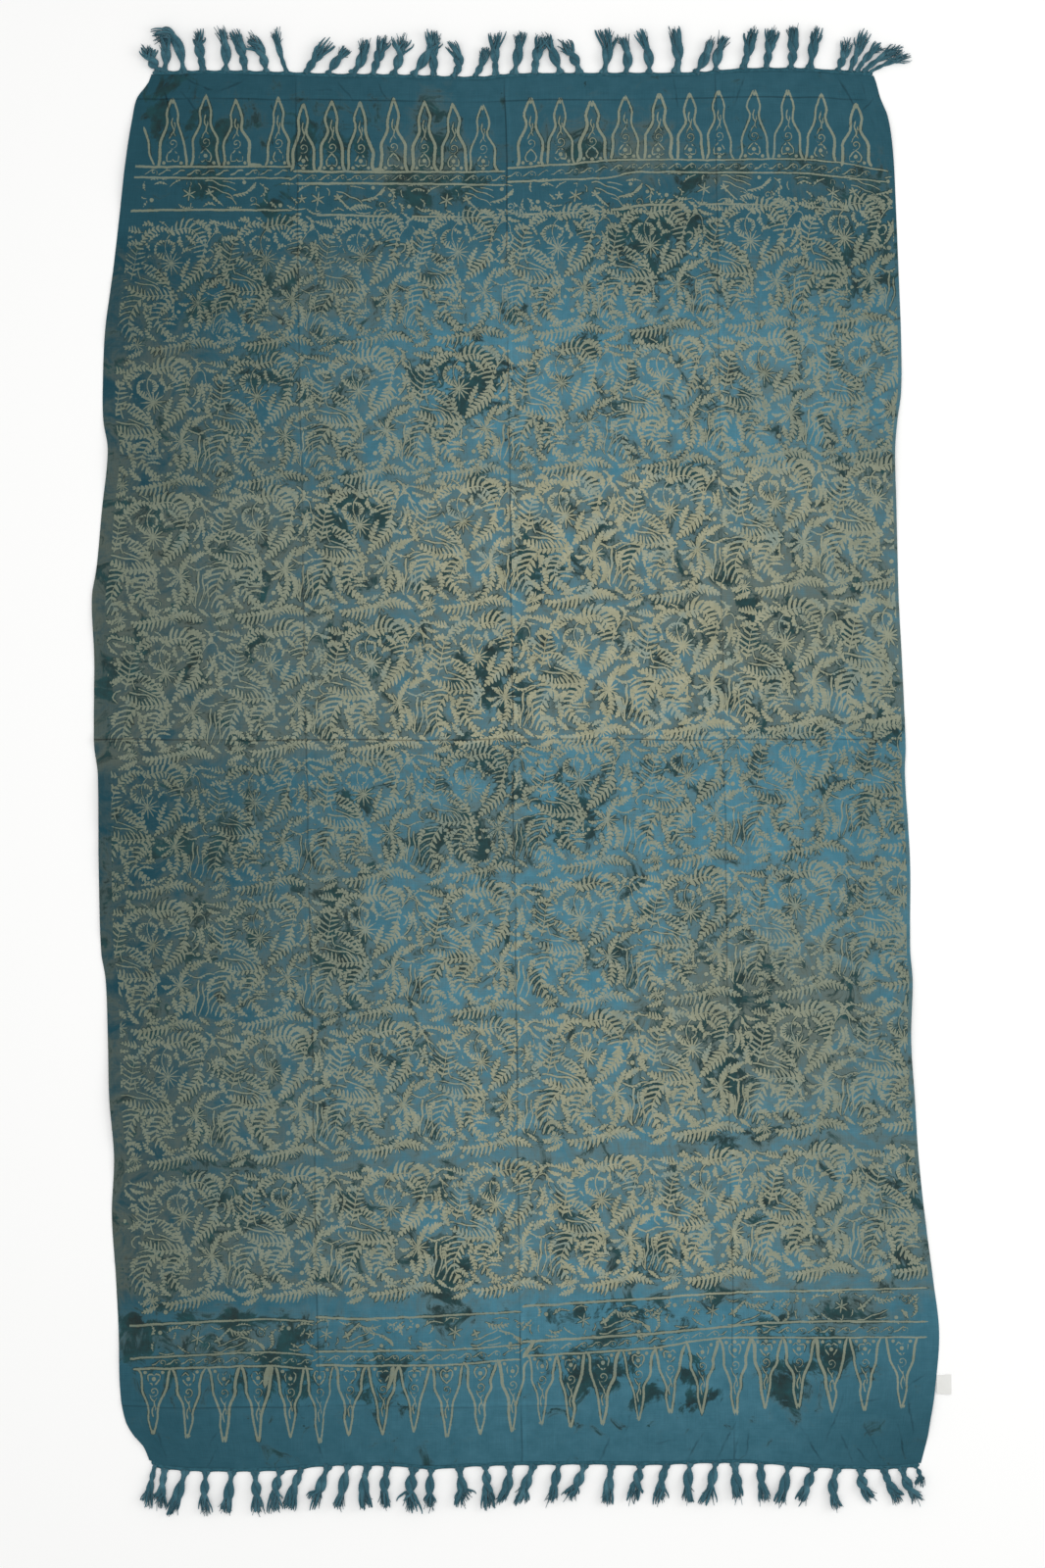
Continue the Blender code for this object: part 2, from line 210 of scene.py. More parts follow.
def laid_place(across, up):
    """Where the points of the straight cut cloth lie on the floor, in millimetres."""
    x, y = across, up
    for _ in range(4):
        left = read_smoothly(SIDES, "up", "left", y) + WIDTH / 2
        right = read_smoothly(SIDES, "up", "right", y) - WIDTH / 2
        top = read_smoothly(TOP_END, "across", "up", x) - HEM_INSET - LENGTH / 2
        bottom = read_smoothly(BOTTOM_END, "across", "up", x) + HEM_INSET + LENGTH / 2
        x = across + left * fade(across + WIDTH / 2, SIDE_PULL) + right * fade(WIDTH / 2 - across, SIDE_PULL)
        y = up + top * fade(LENGTH / 2 - up, END_PULL) + bottom * fade(up + LENGTH / 2, END_PULL)
    return x, y


print("a corner of the cloth lies at", [round(float(n), 1) for n in laid_place(-WIDTH / 2, LENGTH / 2)], "mm")

# %% [markdown]
# ## The relief of the cloth
#
# The cloth was stored folded, so three creases run along it and three across. Where a side is drawn in, the
# edge stands off the floor a little. Between them the rayon undulates by a millimetre or two. The heights
# are worked out for every point of a fine grid, and small pulled creases are placed near the corners.

# %% Creases and undulations
Fold = namedtuple("Fold", "runs place start end height lean", defaults=(0,))
FOLDS = [
    Fold("along", -272, -905, 905, 1.8, -0.018),
    Fold("along", -3, -905, 905, 2.4, -0.012),
    Fold("along", 273, -905, 905, 1.6, -0.013),
    Fold("across", 878, -480, 480, 1.8),
    Fold("across", 40, -545, 505, 2.4),
    Fold("across", -832, -505, 60, 1.8),
]
FOLD_HALF_WIDTH = 9

Lift = namedtuple("Lift", "side up length height")
LIFTS = [
    Lift("left", 800, 200, 4.0),
    Lift("left", 410, 150, 3.0),
    Lift("left", -60, 260, 3.0),
    Lift("left", -430, 300, 4.0),
    Lift("right", 830, 150, 3.5),
    Lift("right", 400, 220, 4.0),
    Lift("right", -330, 320, 3.0),
    Lift("right", -840, 130, 4.0),
]
LIFT_DEPTH = 70

# A pulled crease runs from one point of the cloth to another. It is tallest in its middle.
Crease = namedtuple("Crease", "from_x from_y to_x to_y half_width height")
CREASES = [
    # The corner at the lower right, with the hem beside it
    Crease(509, -900, 498, -850, 6, 1.8),
    Crease(520, -870, 508, -800, 6, 1.5),
    Crease(482, -905, 452, -850, 6, 1.6),
    Crease(466, -908, 430, -870, 5, 1.4),
    Crease(440, -906, 424, -862, 6, 1.4),
    Crease(400, -905, 372, -856, 6, 1.6),
    Crease(404, -880, 430, -812, 6, 1.3),
    Crease(500, -812, 536, -788, 5, 1.2),
    Crease(440, -828, 478, -820, 5, 1.0),
    Crease(262, -902, 290, -846, 6, 1.4),
    Crease(224, -900, 246, -862, 6, 1.4),
    Crease(284, -900, 292, -866, 5, 1.2),
    Crease(180, -880, 214, -872, 5, 1.0),
    Crease(140, -870, 152, -838, 5, 1.0),
    Crease(110, -904, 124, -868, 5, 1.2),
    Crease(300, -905, 306, -852, 5, 1.2),
    Crease(-250, -905, -262, -866, 5, 1.2),
    Crease(-404, -912, -388, -880, 5, 1.2),
    Crease(-400, -880, -384, -858, 5, 1.0),
    Crease(-480, -900, -500, -846, 6, 1.8),
    Crease(-520, -826, -480, -822, 6, 1.4),
    Crease(-455, -905, -468, -860, 6, 1.4),
    # The top end
    Crease(-434, 905, -390, 884, 6, 1.8),
    Crease(-390, 884, -352, 903, 5, 1.4),
    Crease(-460, 895, -446, 840, 7, 2.0),
    Crease(-440, 890, -404, 848, 6, 1.4),
    Crease(-226, 884, -234, 848, 5, 1.2),
    Crease(-262, 888, -226, 888, 5, 1.0),
    Crease(-236, 904, -210, 872, 5, 1.2),
    Crease(-180, 900, -166, 872, 5, 1.2),
    Crease(206, 906, 212, 862, 5, 1.2),
    Crease(300, 908, 286, 868, 5, 1.2),
    Crease(420, 905, 446, 862, 6, 1.6),
    Crease(452, 900, 466, 840, 6, 1.6),
    Crease(470, 880, 430, 836, 6, 1.4),
    # The sides
    Crease(495, 500, 440, 470, 7, 1.4),
    Crease(495, 460, 450, 440, 7, 1.2),
    Crease(-535, 420, -480, 400, 7, 1.4),
    Crease(-545, 250, -490, 240, 7, 1.2),
    Crease(-540, -240, -480, -250, 7, 1.2),
    Crease(515, -240, 460, -230, 7, 1.2),
    Crease(-548, 40, -470, 34, 7, 1.6),
    Crease(-530, -640, -470, -636, 6, 1.2),
]
CLOTH_THICK = 0.7
CLEAR_OF_FLOOR = 0.25

# The slow undulations are three noises, each with its size across and along, its own level and its share
Swell = namedtuple("Swell", "wide long level share")
SWELLS = [Swell(95, 130, 3, 1.0), Swell(38, 60, 7, 0.5), Swell(17, 24, 11, 0.3)]
SWELL_HEIGHT = 2.6
FLAT_SHARE = 0.15
END_LIES_FLAT = 40

print("folds:", len(FOLDS), "lifted edges:", len(LIFTS), "pulled creases:", len(CREASES))


# %% Work out the heights
def crease_height(crease, x, y):
    """The height that one pulled crease gives the points."""
    run = np.array([crease.to_x - crease.from_x, crease.to_y - crease.from_y], float)
    length = np.hypot(*run)
    along = ((x - crease.from_x) * run[0] + (y - crease.from_y) * run[1]) / length**2
    off = ((x - crease.from_x) * run[1] - (y - crease.from_y) * run[0]) / length
    swell = np.sin(math.pi * np.clip(along, 0, 1)) ** 0.6
    return crease.height * swell * np.exp(-((off / crease.half_width) ** 2))


def cloth_height(across, up, x, y):
    """How far the cloth's underside stands off the floor at points of the cloth."""
    height = np.zeros_like(across)
    for fold in FOLDS:
        off, along = (across - fold.place, up) if fold.runs == "along" else (up - fold.place, across)
        off = off - fold.lean * along
        inside = np.clip(np.minimum(along - fold.start, fold.end - along) / FOLD_HALF_WIDTH, 0, 1)
        ridge = np.maximum(0, 1 - np.abs(off) / FOLD_HALF_WIDTH)
        height = np.maximum(height, fold.height * ridge * inside)
    for lift in LIFTS:
        from_side = across + WIDTH / 2 if lift.side == "left" else WIDTH / 2 - across
        phase = np.clip((up - lift.up) / lift.length, -0.5, 0.5)
        rise = lift.height * fade(from_side, LIFT_DEPTH) * np.cos(math.pi * phase) ** 2
        height = height + rise * (1 - fade(LENGTH / 2 - np.abs(up), END_LIES_FLAT))
    for crease in CREASES:
        height = height + crease_height(crease, x, y)
    swells = np.array([
        sum(swell.share * noise.noise((a / swell.wide, b / swell.long, swell.level)) for swell in SWELLS)
        for a, b in zip(across.ravel(), up.ravel())
    ]).reshape(across.shape)
    return height + np.maximum(0, swells + FLAT_SHARE) * SWELL_HEIGHT + CLEAR_OF_FLOOR


# %% [markdown]
# ## The cloth panel
#
# The panel is one closed shell. Its face is a grid of 5 mm squares, fine enough for its creases and for the
# pattern that is painted on it below. Its underside needs only every second point, and along the rim each of
# its edges meets two edges of the face. The grid also gets a UV map of the straight cut cloth in metres, so
# that threads run true to the weave however the cloth is pulled.

# %% Build the shell
COLUMN_COUNT = 210
ROW_COUNT = 364
columns, rows = np.meshgrid(
    np.linspace(-WIDTH / 2, WIDTH / 2, COLUMN_COUNT + 1), np.linspace(-LENGTH / 2, LENGTH / 2, ROW_COUNT + 1)
)
laid_x, laid_y = laid_place(columns, rows)
under_height = cloth_height(columns, rows, laid_x, laid_y)

# The outline's table is in its own millimetres. The solid of the panel says where that lies in the frame.
panel_low, panel_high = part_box("cloth_panel")
shift_x = (panel_low[0] + panel_high[0]) / 2 / MM - (laid_x.min() + laid_x.max()) / 2
shift_y = (panel_low[1] + panel_high[1]) / 2 / MM - (laid_y.min() + laid_y.max()) / 2
print("the table lies off the frame by", round(shift_x, 2), round(shift_y, 2), "mm")


def grid_points(step, rise):
    """Every point or every second point of the grid, in metres, at a height above the underside."""
    some = (slice(None, None, step), slice(None, None, step))
    x, y, z = laid_x[some] + shift_x, laid_y[some] + shift_y, under_height[some] + rise
    return np.stack([x, y, z], axis=-1).reshape(-1, 3) * MM


def grid_faces(row_count, column_count, first):
    """The squares of a grid, anticlockwise from above, as numbers of points."""
    numbers = first + np.arange((row_count + 1) * (column_count + 1)).reshape(row_count + 1, -1)
    corners = [numbers[:-1, :-1], numbers[:-1, 1:], numbers[1:, 1:], numbers[1:, :-1]]
    return np.stack(corners, axis=-1).reshape(-1, 4)


def rim_faces(first_under):
    """The five-sided faces round the rim, each from one edge of the underside to two of the face."""
    face = np.arange((ROW_COUNT + 1) * (COLUMN_COUNT + 1)).reshape(ROW_COUNT + 1, -1)
    half_rows, half_columns = ROW_COUNT // 2 + 1, COLUMN_COUNT // 2 + 1
    under = first_under + np.arange(half_rows * half_columns).reshape(half_rows, -1)
    rim = []
    borders = [
        (face[0], under[0], 1),
        (face[-1], under[-1], -1),
        (face[:, 0], under[:, 0], -1),
        (face[:, -1], under[:, -1], 1),
    ]
    for upper, lower, turn in borders:
        for n in range(len(lower) - 1):
            corners = [lower[n], lower[n + 1], upper[2 * n + 2], upper[2 * n + 1], upper[2 * n]]
            rim.append([int(c) for c in corners[::turn]])
    return rim


def build_panel():
    face_points, under_points = grid_points(1, CLOTH_THICK), grid_points(2, 0)
    face = grid_faces(ROW_COUNT, COLUMN_COUNT, 0)
    under = grid_faces(ROW_COUNT // 2, COLUMN_COUNT // 2, len(face_points))[:, ::-1]
    mesh = bpy.data.meshes.new("batik_panel")
    squares = face.tolist() + under.tolist() + rim_faces(len(face_points))
    mesh.from_pydata(np.vstack([face_points, under_points]).tolist(), [], squares)
    mesh.shade_smooth()
    mesh.set_sharp_from_angle(angle=math.radians(50))
    cut = np.stack([columns, rows], axis=-1)
    flat = np.vstack([cut.reshape(-1, 2), cut[::2, ::2].reshape(-1, 2)]) * MM
    corner_points = np.empty(len(mesh.loops), int)
    mesh.loops.foreach_get("vertex_index", corner_points)
    mesh.uv_layers.new(name="cut").uv.foreach_set("vector", flat[corner_points].ravel())
    return put_in_scene("batik_panel", mesh)


panel = build_panel()
print("cloth panel:", len(panel.data.polygons), "faces")

# %% [markdown]
# ## The stamp, charted in fronds
#
# The pattern is printed with one copper stamp, about 137 by 176 mm, set down again and again. It shows a
# spray of fern and acanthus that branches from one fork. The strokes are thousands, but the rule behind them
# is simple: a frond is a curved stem with leaflets at an even pitch, and a flower is a burst of rays. So the
# stamp is charted as a list of fronds and bursts, and each stroke is worked out from its frond.
# All places are millimetres from the fork. The left and right of a frond are those of a walk along it.

# %% Chart the stamp
Frond = namedtuple("Frond", "route left right pitch stroke lean", defaults=(0, 0, 5.5, 2.8, 0.55))
FRONDS = [
    # The large fern at the left: its lower part has the longest leaflets
    Frond([(-58, 30), (-54, 46), (-51, 61), (-45, 73)], 22, 18, 7.2, 3.7, 0.3),
    Frond([(-45, 73), (-38, 82), (-24, 90), (-8, 88)], 6, 9, 5.6, 3.3),
    Frond([(-53, 44), (-57, 34), (-60, 24)]),
    Frond([(-50, 42), (-50, 32), (-47, 24)], stroke=2.6),
    Frond([(-56, 45), (-66, 37), (-77, 29)], 3, 3, 5.0, 2.8),
    # The fern that goes down at the left, and the big leaf above it
    Frond([(-44, 1), (-54, -8), (-60, -18), (-64, -28), (-64, -40), (-56, -57)], 11, 26, 8.0, 4.0, 0.6),
    Frond([(-3, 1), (-12, 2), (-27, 2), (-42, 2), (-52, 7), (-68, 15)], 7, 14, 5.6, 3.6, 0.3),
    Frond([(-24, 8), (-31, 16), (-46, 18), (-62, 23), (-72, 22), (-77, 14), (-71, 7)]),
    # The crest at the top, and the leafy stem that comes down from it to the fork
    Frond([(-10, 86), (-5, 85), (5, 88), (14, 89), (22, 87), (29, 79), (37, 65)], 17, 11, 6.0, 4.2, 0.15),
    Frond([(39, 73), (38, 64), (34, 48)], 5, 27, 7.2, 3.8, 0.25),
    Frond([(34, 52), (32, 38), (23, 27), (11, 17), (0, 6)], 11, 10, 5.8, 3.9, 0.4),
    # The rings below the fork
    Frond([(0, -3), (-15, -8), (-22, -18), (-27, -29), (-24, -37), (-17, -45), (-8, -50)],
          7, 15, 6.2, 3.4, 0.25),
    Frond([(26, -9), (29, -24), (27, -36), (21, -47), (13, -58), (1, -63)], 7, 6, 5.6, 3.1),
    Frond([(34, -16), (40, -28), (39, -38), (32, -47)], 6, 5, 4.6, 3.6, 0.3),
    Frond([(12, -61), (0, -64), (-17, -67), (-30, -68), (-42, -65)], 14, 6, 5.8, 3.8, 0.25),
    Frond([(13, -60), (30, -58), (44, -63), (54, -69)], 6, 10, 5.6, 3.8),
    # The flower, and the heart of two toothed lobes that hangs over it
    Frond([(0, 0), (-9, 10), (-13, 22), (-15, 34), (-8, 43)], 5, 4, 6.5, 2.6, 1.3),
    Frond([(-9, 47), (-18, 50), (-26, 58), (-27, 66), (-21, 73), (-14, 73)], 0, 9, 4.4, 2.8, 0.1),
    Frond([(-13, 74), (-5, 72), (-1, 66), (-3, 59), (-9, 56)], 0, 7, 4.2, 2.6, 0.1),
    Frond([(-5, 83), (-12, 75), (-14, 64), (-11, 54), (-8, 46)], stroke=2.0),
    # Leaves and lobes
    Frond([(-12, 14), (-22, 32), (-36, 42), (-48, 45)], 16, 0, 5.8, 3.3, 0.3),
    Frond([(-20, 14), (-34, 21), (-48, 27)], stroke=2.6),
    Frond([(-47, 70), (-56, 72), (-65, 69)], 6, 6, 4.2, 3.2, 0.2),
    Frond([(-27, 92), (-35, 97), (-43, 94)], 5, 5, 4.2, 3.0, 0.2),
    Frond([(25, 98), (36, 94), (44, 86), (44, 75)], 6, 6, 4.6, 3.8, 0.2),
    Frond([(-46, -5), (-41, -12), (-46, -21)], 5, 5, 4.2, 3.2, 0.2),
    Frond([(-26, -8), (-35, -13), (-36, -22)], 5, 5, 4.2, 3.4, 0.2),
    Frond([(-61, -38), (-52, -43), (-46, -51)], 5, 5, 4.2, 3.0),
    Frond([(-7, -8), (-14, -15), (-20, -23)], 5, 5, 4.2, 3.0),
    Frond([(17, -25), (18, -34), (21, -43)], 5, 5, 4.2, 3.0),
    Frond([(26, -7), (31, 4), (37, 14), (42, 22)], 6, 5, 4.9, 3.4),
    Frond([(41, 9), (49, 17), (59, 21)], 6, 6, 4.4, 3.6, 0.3),
    Frond([(-42, 85), (-54, 87), (-66, 92)], 3, 9, 4.6, 2.8, 0.3),
    Frond([(-64, 90), (-75, 93), (-83, 87), (-86, 79)], 0, 4, 4.6, 2.8),
    Frond([(-81, 85), (-76, 77), (-68, 70)], 0, 4, 4.2, 3.6),
    Frond([(-74, 86), (-66, 81), (-55, 80)], 3, 3, 4.2, 3.6),
    Frond([(-57, -58), (-66, -65), (-73, -62)], 5, 4, 4.4, 3.0),
    Frond([(-48, -69), (-58, -74), (-70, -77)], 5, 5, 4.4, 3.0),
    Frond([(-30, -57), (-38, -50), (-44, -40)], 5, 4, 4.4, 3.0),
    Frond([(-22, -38), (-18, -48), (-9, -54), (2, -50)], 4, 4, 4.2, 2.8, 0.2),
    Frond([(-20, -58), (-11, -56), (-3, -59)], 3, 4, 4.2, 2.8),
    Frond([(2, -55), (8, -51), (14, -48)], 4, 3, 4.2, 3.0),
    # What fills the gaps: small strokes, fruits and tendrils
    Frond([(-22, -29), (-12, -29), (-4, -30)], 0, 3, 4.2, 3.0),
    Frond([(-20, -35), (-12, -34), (-3, -37)], 2, 2, 4.2, 3.8),
    Frond([(-5, -9), (-6, -21), (0, -30)], 0, 4, 4.4, 2.8),
    Frond([(8, -21), (16, -18), (22, -13)], 3, 3, 4.2, 3.2),
    Frond([(2, -9), (9, -12), (16, -9)], 3, 3, 4.2, 3.4),
    Frond([(10, 4), (18, -1), (20, -8)], 3, 4, 4.2, 2.8),
    Frond([(51, 64), (55, 53), (51, 42), (44, 35)], 0, 5, 4.6, 3.6, 0.2),
    Frond([(40, 57), (45, 60), (49, 56), (46, 49), (41, 47)], stroke=3.2),
    Frond([(46, 99), (52, 94), (54, 87), (49, 79)], 4, 0, 4.6, 3.2),
    Frond([(38, 63), (44, 73), (50, 80), (58, 82), (62, 76), (63, 66), (69, 57)], stroke=2.0),
    Frond([(58, 68), (57, 58), (60, 47), (57, 38)], 3, 5, 4.8, 2.8),
    Frond([(51, -3), (49, -14), (50, -24), (46, -34), (44, -50)], stroke=3.2),
    Frond([(44, -21), (45, -32), (41, -42), (46, -52)], stroke=2.4),
    Frond([(56, -8), (55, -18), (57, -28), (52, -42), (48, -50)], stroke=2.6),
    Frond([(62, -18), (61, -30), (62, -42), (56, -54)], stroke=2.4),
    Frond([(49, -52), (56, -58), (62, -63)], 3, 3, 4.2, 3.4),
    Frond([(36, 5), (49, -1), (62, 4), (71, 3)], 0, 3, 4.6, 2.6),
    Frond([(33, 30), (41, 33), (47, 28)], 3, 3, 4.2, 3.0),
    Frond([(-20, 99), (-13, 95), (-8, 88)], 3, 0, 4.2, 2.4),
    Frond([(-35, 74), (-28, 80), (-20, 82)], 4, 3, 4.2, 2.8),
    Frond([(-34, 62), (-38, 70), (-42, 76)], 3, 3, 4.2, 2.6),
    Frond([(6, 78), (5, 70), (10, 64)], 4, 4, 4.2, 3.0),
    Frond([(14, 79), (21, 73), (26, 66)], 4, 4, 4.2, 3.2),
    Frond([(-30, 50), (-34, 57), (-38, 50)], 3, 0, 4.2, 2.4),
    Frond([(7, 22), (9, 32), (15, 43), (18, 50)], 6, 5, 4.8, 3.0, 0.3),
    Frond([(-18, 19), (-28, 27), (-40, 33)], 5, 5, 4.6, 2.8, 0.3),
    Frond([(-44, -20), (-38, -31), (-38, -44)], 7, 5, 4.8, 3.2, 0.3),
    Frond([(-19, -24), (-10, -27), (0, -24)], 3, 3, 4.2, 3.0),
    Frond([(68, 18), (62, 30), (66, 46)], 5, 6, 4.8, 3.0),
    Frond([(47, 12), (54, 20), (64, 20)], 4, 3, 4.4, 3.0),
    Frond([(8, 56), (12, 62), (20, 60)], 4, 3, 4.4, 3.0),
    Frond([(-40, -54), (-48, -60), (-56, -66)], 5, 4, 4.4, 3.0),
    Frond([(-78, 60), (-70, 64), (-66, 56), (-70, 48)], 4, 4, 4.4, 3.0),
    Frond([(-80, 34), (-72, 36), (-64, 44)], 5, 5, 4.4, 3.0),
    Frond([(-68, -4), (-76, -12), (-78, -24)], 6, 6, 4.6, 3.0),
    Frond([(60, 92), (52, 88), (58, 82)], 4, 4, 4.4, 3.0),
]

# A burst has rays, or with one ray that winds it is a spiral, or with none a dot.
Burst = namedtuple("Burst", "across up radius stroke rays winds", defaults=(0, 0))
BURSTS = [
    Burst(-7, 44, 17, 4.2, 12),
    Burst(26, -9, 16, 4.0, 12),
    Burst(-55, -62, 11, 3.6, 10),
    Burst(14, -62, 11, 3.4, 10),
    Burst(-6, -43, 7, 2.8, 1, 0.2),
    Burst(6, -27, 2.8, 9),
    Burst(10, -38, 3.0, 9),
    Burst(1, -20, 2.4, 9),
    Burst(51, 30, 3.0, 9),
    Burst(59, 28, 2.6, 9),
    Burst(-72, 58, 2.6, 9),
    Burst(-84, 44, 2.8, 9),
    Burst(-38, -78, 3.0, 9),
    Burst(66, -8, 2.8, 9),
    Burst(20, 8, 2.4, 9),
]
print("stamp:", len(FRONDS), "fronds and", len(BURSTS), "bursts")

# %% [markdown]
# ## Painting a chart on the grid
#
# How does a chart get on to the cloth, without a picture? Each corner of each square stores four numbers of
# the frond that crosses it: how far along the frond it is, how far to its left, how far the leaflets reach
# there, and how thick a stroke is. Blender blends numbers evenly across a square, so the shader can draw
# sharp strokes from them, far finer than the squares. Fronds cross, so there are several layers of numbers,
# and a frond takes the layer that is freest where it goes. The creases are stored in the same way, so that
# the shader can also draw the thin line of painted shade along each of them.

# %% The painter
FROND_LAYERS = 5
CROWDED = 0.35
NO_FROND = (0.0, 10.0, 0.01, -1.0)
SHADER_LEAN = 0.55
STAMP_MARGIN_LEFT = 14
STAMP_MARGIN_RIGHT = 3
CREASE_REACH = 12
CREASE_LINE_REACH = 8

# What a corner stores where nothing is painted: a stroke of less than no width, and a crease far off
NO_BURST = (9.0, 9.0, 1.0, -1.0)
NO_RAYS = (0.0, 0.0, 0.0, 1.0)
NO_CREASE = (0.0, 20.0, 0.0, 0.0)


# %% The face that is painted on
class Face:
    """One side of the cloth: the squares of its grid, and the numbers that are painted on their corners."""

    def __init__(self, step):
        some = (slice(None, None, step), slice(None, None, step))
        points = np.stack([laid_x[some], laid_y[some], columns[some]], axis=-1)
        corners = (points[:-1, :-1], points[:-1, 1:], points[1:, 1:], points[1:, :-1])
        corners = np.stack(corners, axis=2).reshape(-1, 4, 3)
        self.x, self.y = corners[..., 0], corners[..., 1]
        self.middle = corners.mean(axis=1)
        self.cell = step * WIDTH / COLUMN_COUNT
        count = len(corners)
        self.fronds = np.tile(np.array(NO_FROND), (FROND_LAYERS, count, 4, 1))
        self.frond_taken = np.zeros((FROND_LAYERS, count), bool)
        self.left_out = 0
        self.burst_places = np.tile(np.array(NO_BURST), (count, 4, 1))
        self.burst_rays = np.tile(np.array(NO_RAYS), (count, 4, 1))
        self.burst_taken = np.zeros(count, bool)
        self.creases = np.tile(np.array(NO_CREASE), (count, 4, 1))
        across = self.middle[:, 2]
        self.open = (across > STAMP_MARGIN_LEFT - WIDTH / 2) & (across < WIDTH / 2 - STAMP_MARGIN_RIGHT)

    def near(self, low, high):
        """The squares whose middle lies in a box."""
        x, y = self.middle[:, 0], self.middle[:, 1]
        return np.nonzero(self.open & (x > low[0]) & (x < high[0]) & (y > low[1]) & (y < high[1]))[0]


# %% Measure along a route
def smooth_route(points, step=3.5):
    """Points along a smooth curve through the given ones, about a step apart."""
    points = np.array(points, float)
    padded = np.vstack([2 * points[0] - points[1], points, 2 * points[-1] - points[-2]])
    route = []
    for a, b, c, d in zip(padded, padded[1:], padded[2:], padded[3:]):
        count = max(1, round(np.hypot(*(c - b)) / step))
        t = np.arange(count)[:, None] / count
        bend = (c - a) * t + (2 * a - 5 * b + 4 * c - d) * t**2 + (3 * b - a - 3 * c + d) * t**3
        route.append(b + 0.5 * bend)
    return np.vstack([*route, points[-1:]])


def measure(route, x, y):
    """How far along a route each point lies and how far to its left, and how long the route is."""
    start, run = route[:-1], np.diff(route, axis=0)
    length = np.hypot(run[:, 0], run[:, 1])
    before = np.cumsum(length) - length
    from_x, from_y = x[:, None] - start[:, 0], y[:, None] - start[:, 1]
    t = (from_x * run[:, 0] + from_y * run[:, 1]) / length**2
    first_or_more, last_or_less = np.zeros(len(run)), np.ones(len(run))
    first_or_more[0], last_or_less[-1] = -np.inf, np.inf
    t = np.clip(t, first_or_more, last_or_less)
    distance = np.hypot(from_x - t * run[:, 0], from_y - t * run[:, 1])
    best = distance.argmin(axis=1)
    each = np.arange(len(x))
    turn = run[best, 0] * from_y[each, best] - run[best, 1] * from_x[each, best]
    along = before[best] + t[each, best] * length[best]
    return along, distance[each, best] * np.sign(turn), length.sum()


# %% Paint a frond, a burst or a crease
def paint_frond(face, route, frond, stroke):
    """Paints one frond on the layer that is freest along its route, unless all are too full there."""
    widest = max(frond.left, frond.right, stroke) + 2
    near = face.near(route.min(axis=0) - widest, route.max(axis=0) + widest)
    if not len(near):
        return
    along, off, length = measure(route, face.x[near].ravel(), face.y[near].ravel())
    along, off = along.reshape(-1, 4), off.reshape(-1, 4)
    past_end = np.maximum(np.maximum(-along, along - length), 0)
    reach = np.where(off > 0, frond.left, frond.right)
    margin = 0.5 * face.cell + 0.3
    inside = (np.abs(off) < np.maximum(reach, stroke / 2) + margin) & (past_end < stroke / 2 + margin)
    even = (np.ptp(along, axis=1) < 2 * face.cell) & (np.ptp(off, axis=1) < 2 * face.cell)
    keep = inside.any(axis=1) & even
    squares = near[keep]
    clashes = face.frond_taken[:, squares].sum(axis=1)
    layer = int(clashes.argmin())
    if not len(squares) or clashes[layer] > CROWDED * len(squares):
        face.left_out += len(squares) > 0
        return
    along, off, past_end, reach = along[keep], off[keep], past_end[keep], reach[keep]
    part = np.clip(along / length, 0, 1)
    swell = np.sin(math.pi * part**0.85) ** 0.5
    numbers = np.stack([
        (along - (frond.lean - SHADER_LEAN) * np.abs(off)) / frond.pitch + HAND.integers(100),
        off / frond.pitch,
        np.maximum(reach * swell, 0.05) / frond.pitch,
        (stroke / 2 * (1.1 - 0.3 * part) - past_end) / frond.pitch,
    ], axis=-1)
    free = ~face.frond_taken[layer, squares]
    face.fronds[layer, squares[free]] = numbers[free]
    face.frond_taken[layer, squares] = True


def paint_burst(face, x, y, turn, burst, stroke):
    """Paints one burst, spiral or dot, unless another is in its way."""
    reach = burst.radius + 0.8 * face.cell
    near = face.near((x - reach, y - reach), (x + reach, y + reach))
    if not len(near) or face.burst_taken[near].any():
        return
    off_x, off_y = face.x[near] - x, face.y[near] - y
    a = off_x * math.cos(turn) + off_y * math.sin(turn)
    b = off_y * math.cos(turn) - off_x * math.sin(turn)
    radius, half = np.full_like(a, burst.radius), np.full_like(a, stroke / 2)
    face.burst_places[near] = np.stack([a, b, radius, half], axis=-1)
    face.burst_rays[near] = (burst.rays, burst.winds, 0, 1)
    face.burst_taken[near] = True


def paint_crease(face, crease):
    """Stores how far each corner lies from a crease, in millimetres, and how deep the crease is there."""
    route = np.array([(crease.from_x, crease.from_y), (crease.to_x, crease.to_y)], float)
    near = face.near(route.min(axis=0) - CREASE_REACH, route.max(axis=0) + CREASE_REACH)
    if not len(near):
        return
    along, off, length = measure(route, face.x[near].ravel(), face.y[near].ravel())
    along, off = along.reshape(-1, 4), off.reshape(-1, 4)
    depth = crease.height * np.clip(4 * (0.5 - np.abs(along / length - 0.5)), 0, 1)
    keep = (np.abs(off).min(axis=1) < CREASE_LINE_REACH) & (depth.max(axis=1) > 0)
    face.creases[near[keep]] = np.stack([along, off, depth, np.zeros_like(depth)], axis=-1)[keep]


# %% Mark the creases on both faces
# The slips of the printer's hand are random numbers with a fixed seed
HAND = np.random.default_rng(17)
faces = [Face(1), Face(2)]
for face in faces:
    for crease in CREASES:
        paint_crease(face, crease)
print("squares to paint:", [len(face.x) for face in faces])

# %% [markdown]
# ## Setting the stamp down
#
# The stamp is set down in eight rows. Each row drifts upwards to the right, and no two impressions are alike:
# the hand is never quite straight, and the wax cools, so that some are bold and others faint.

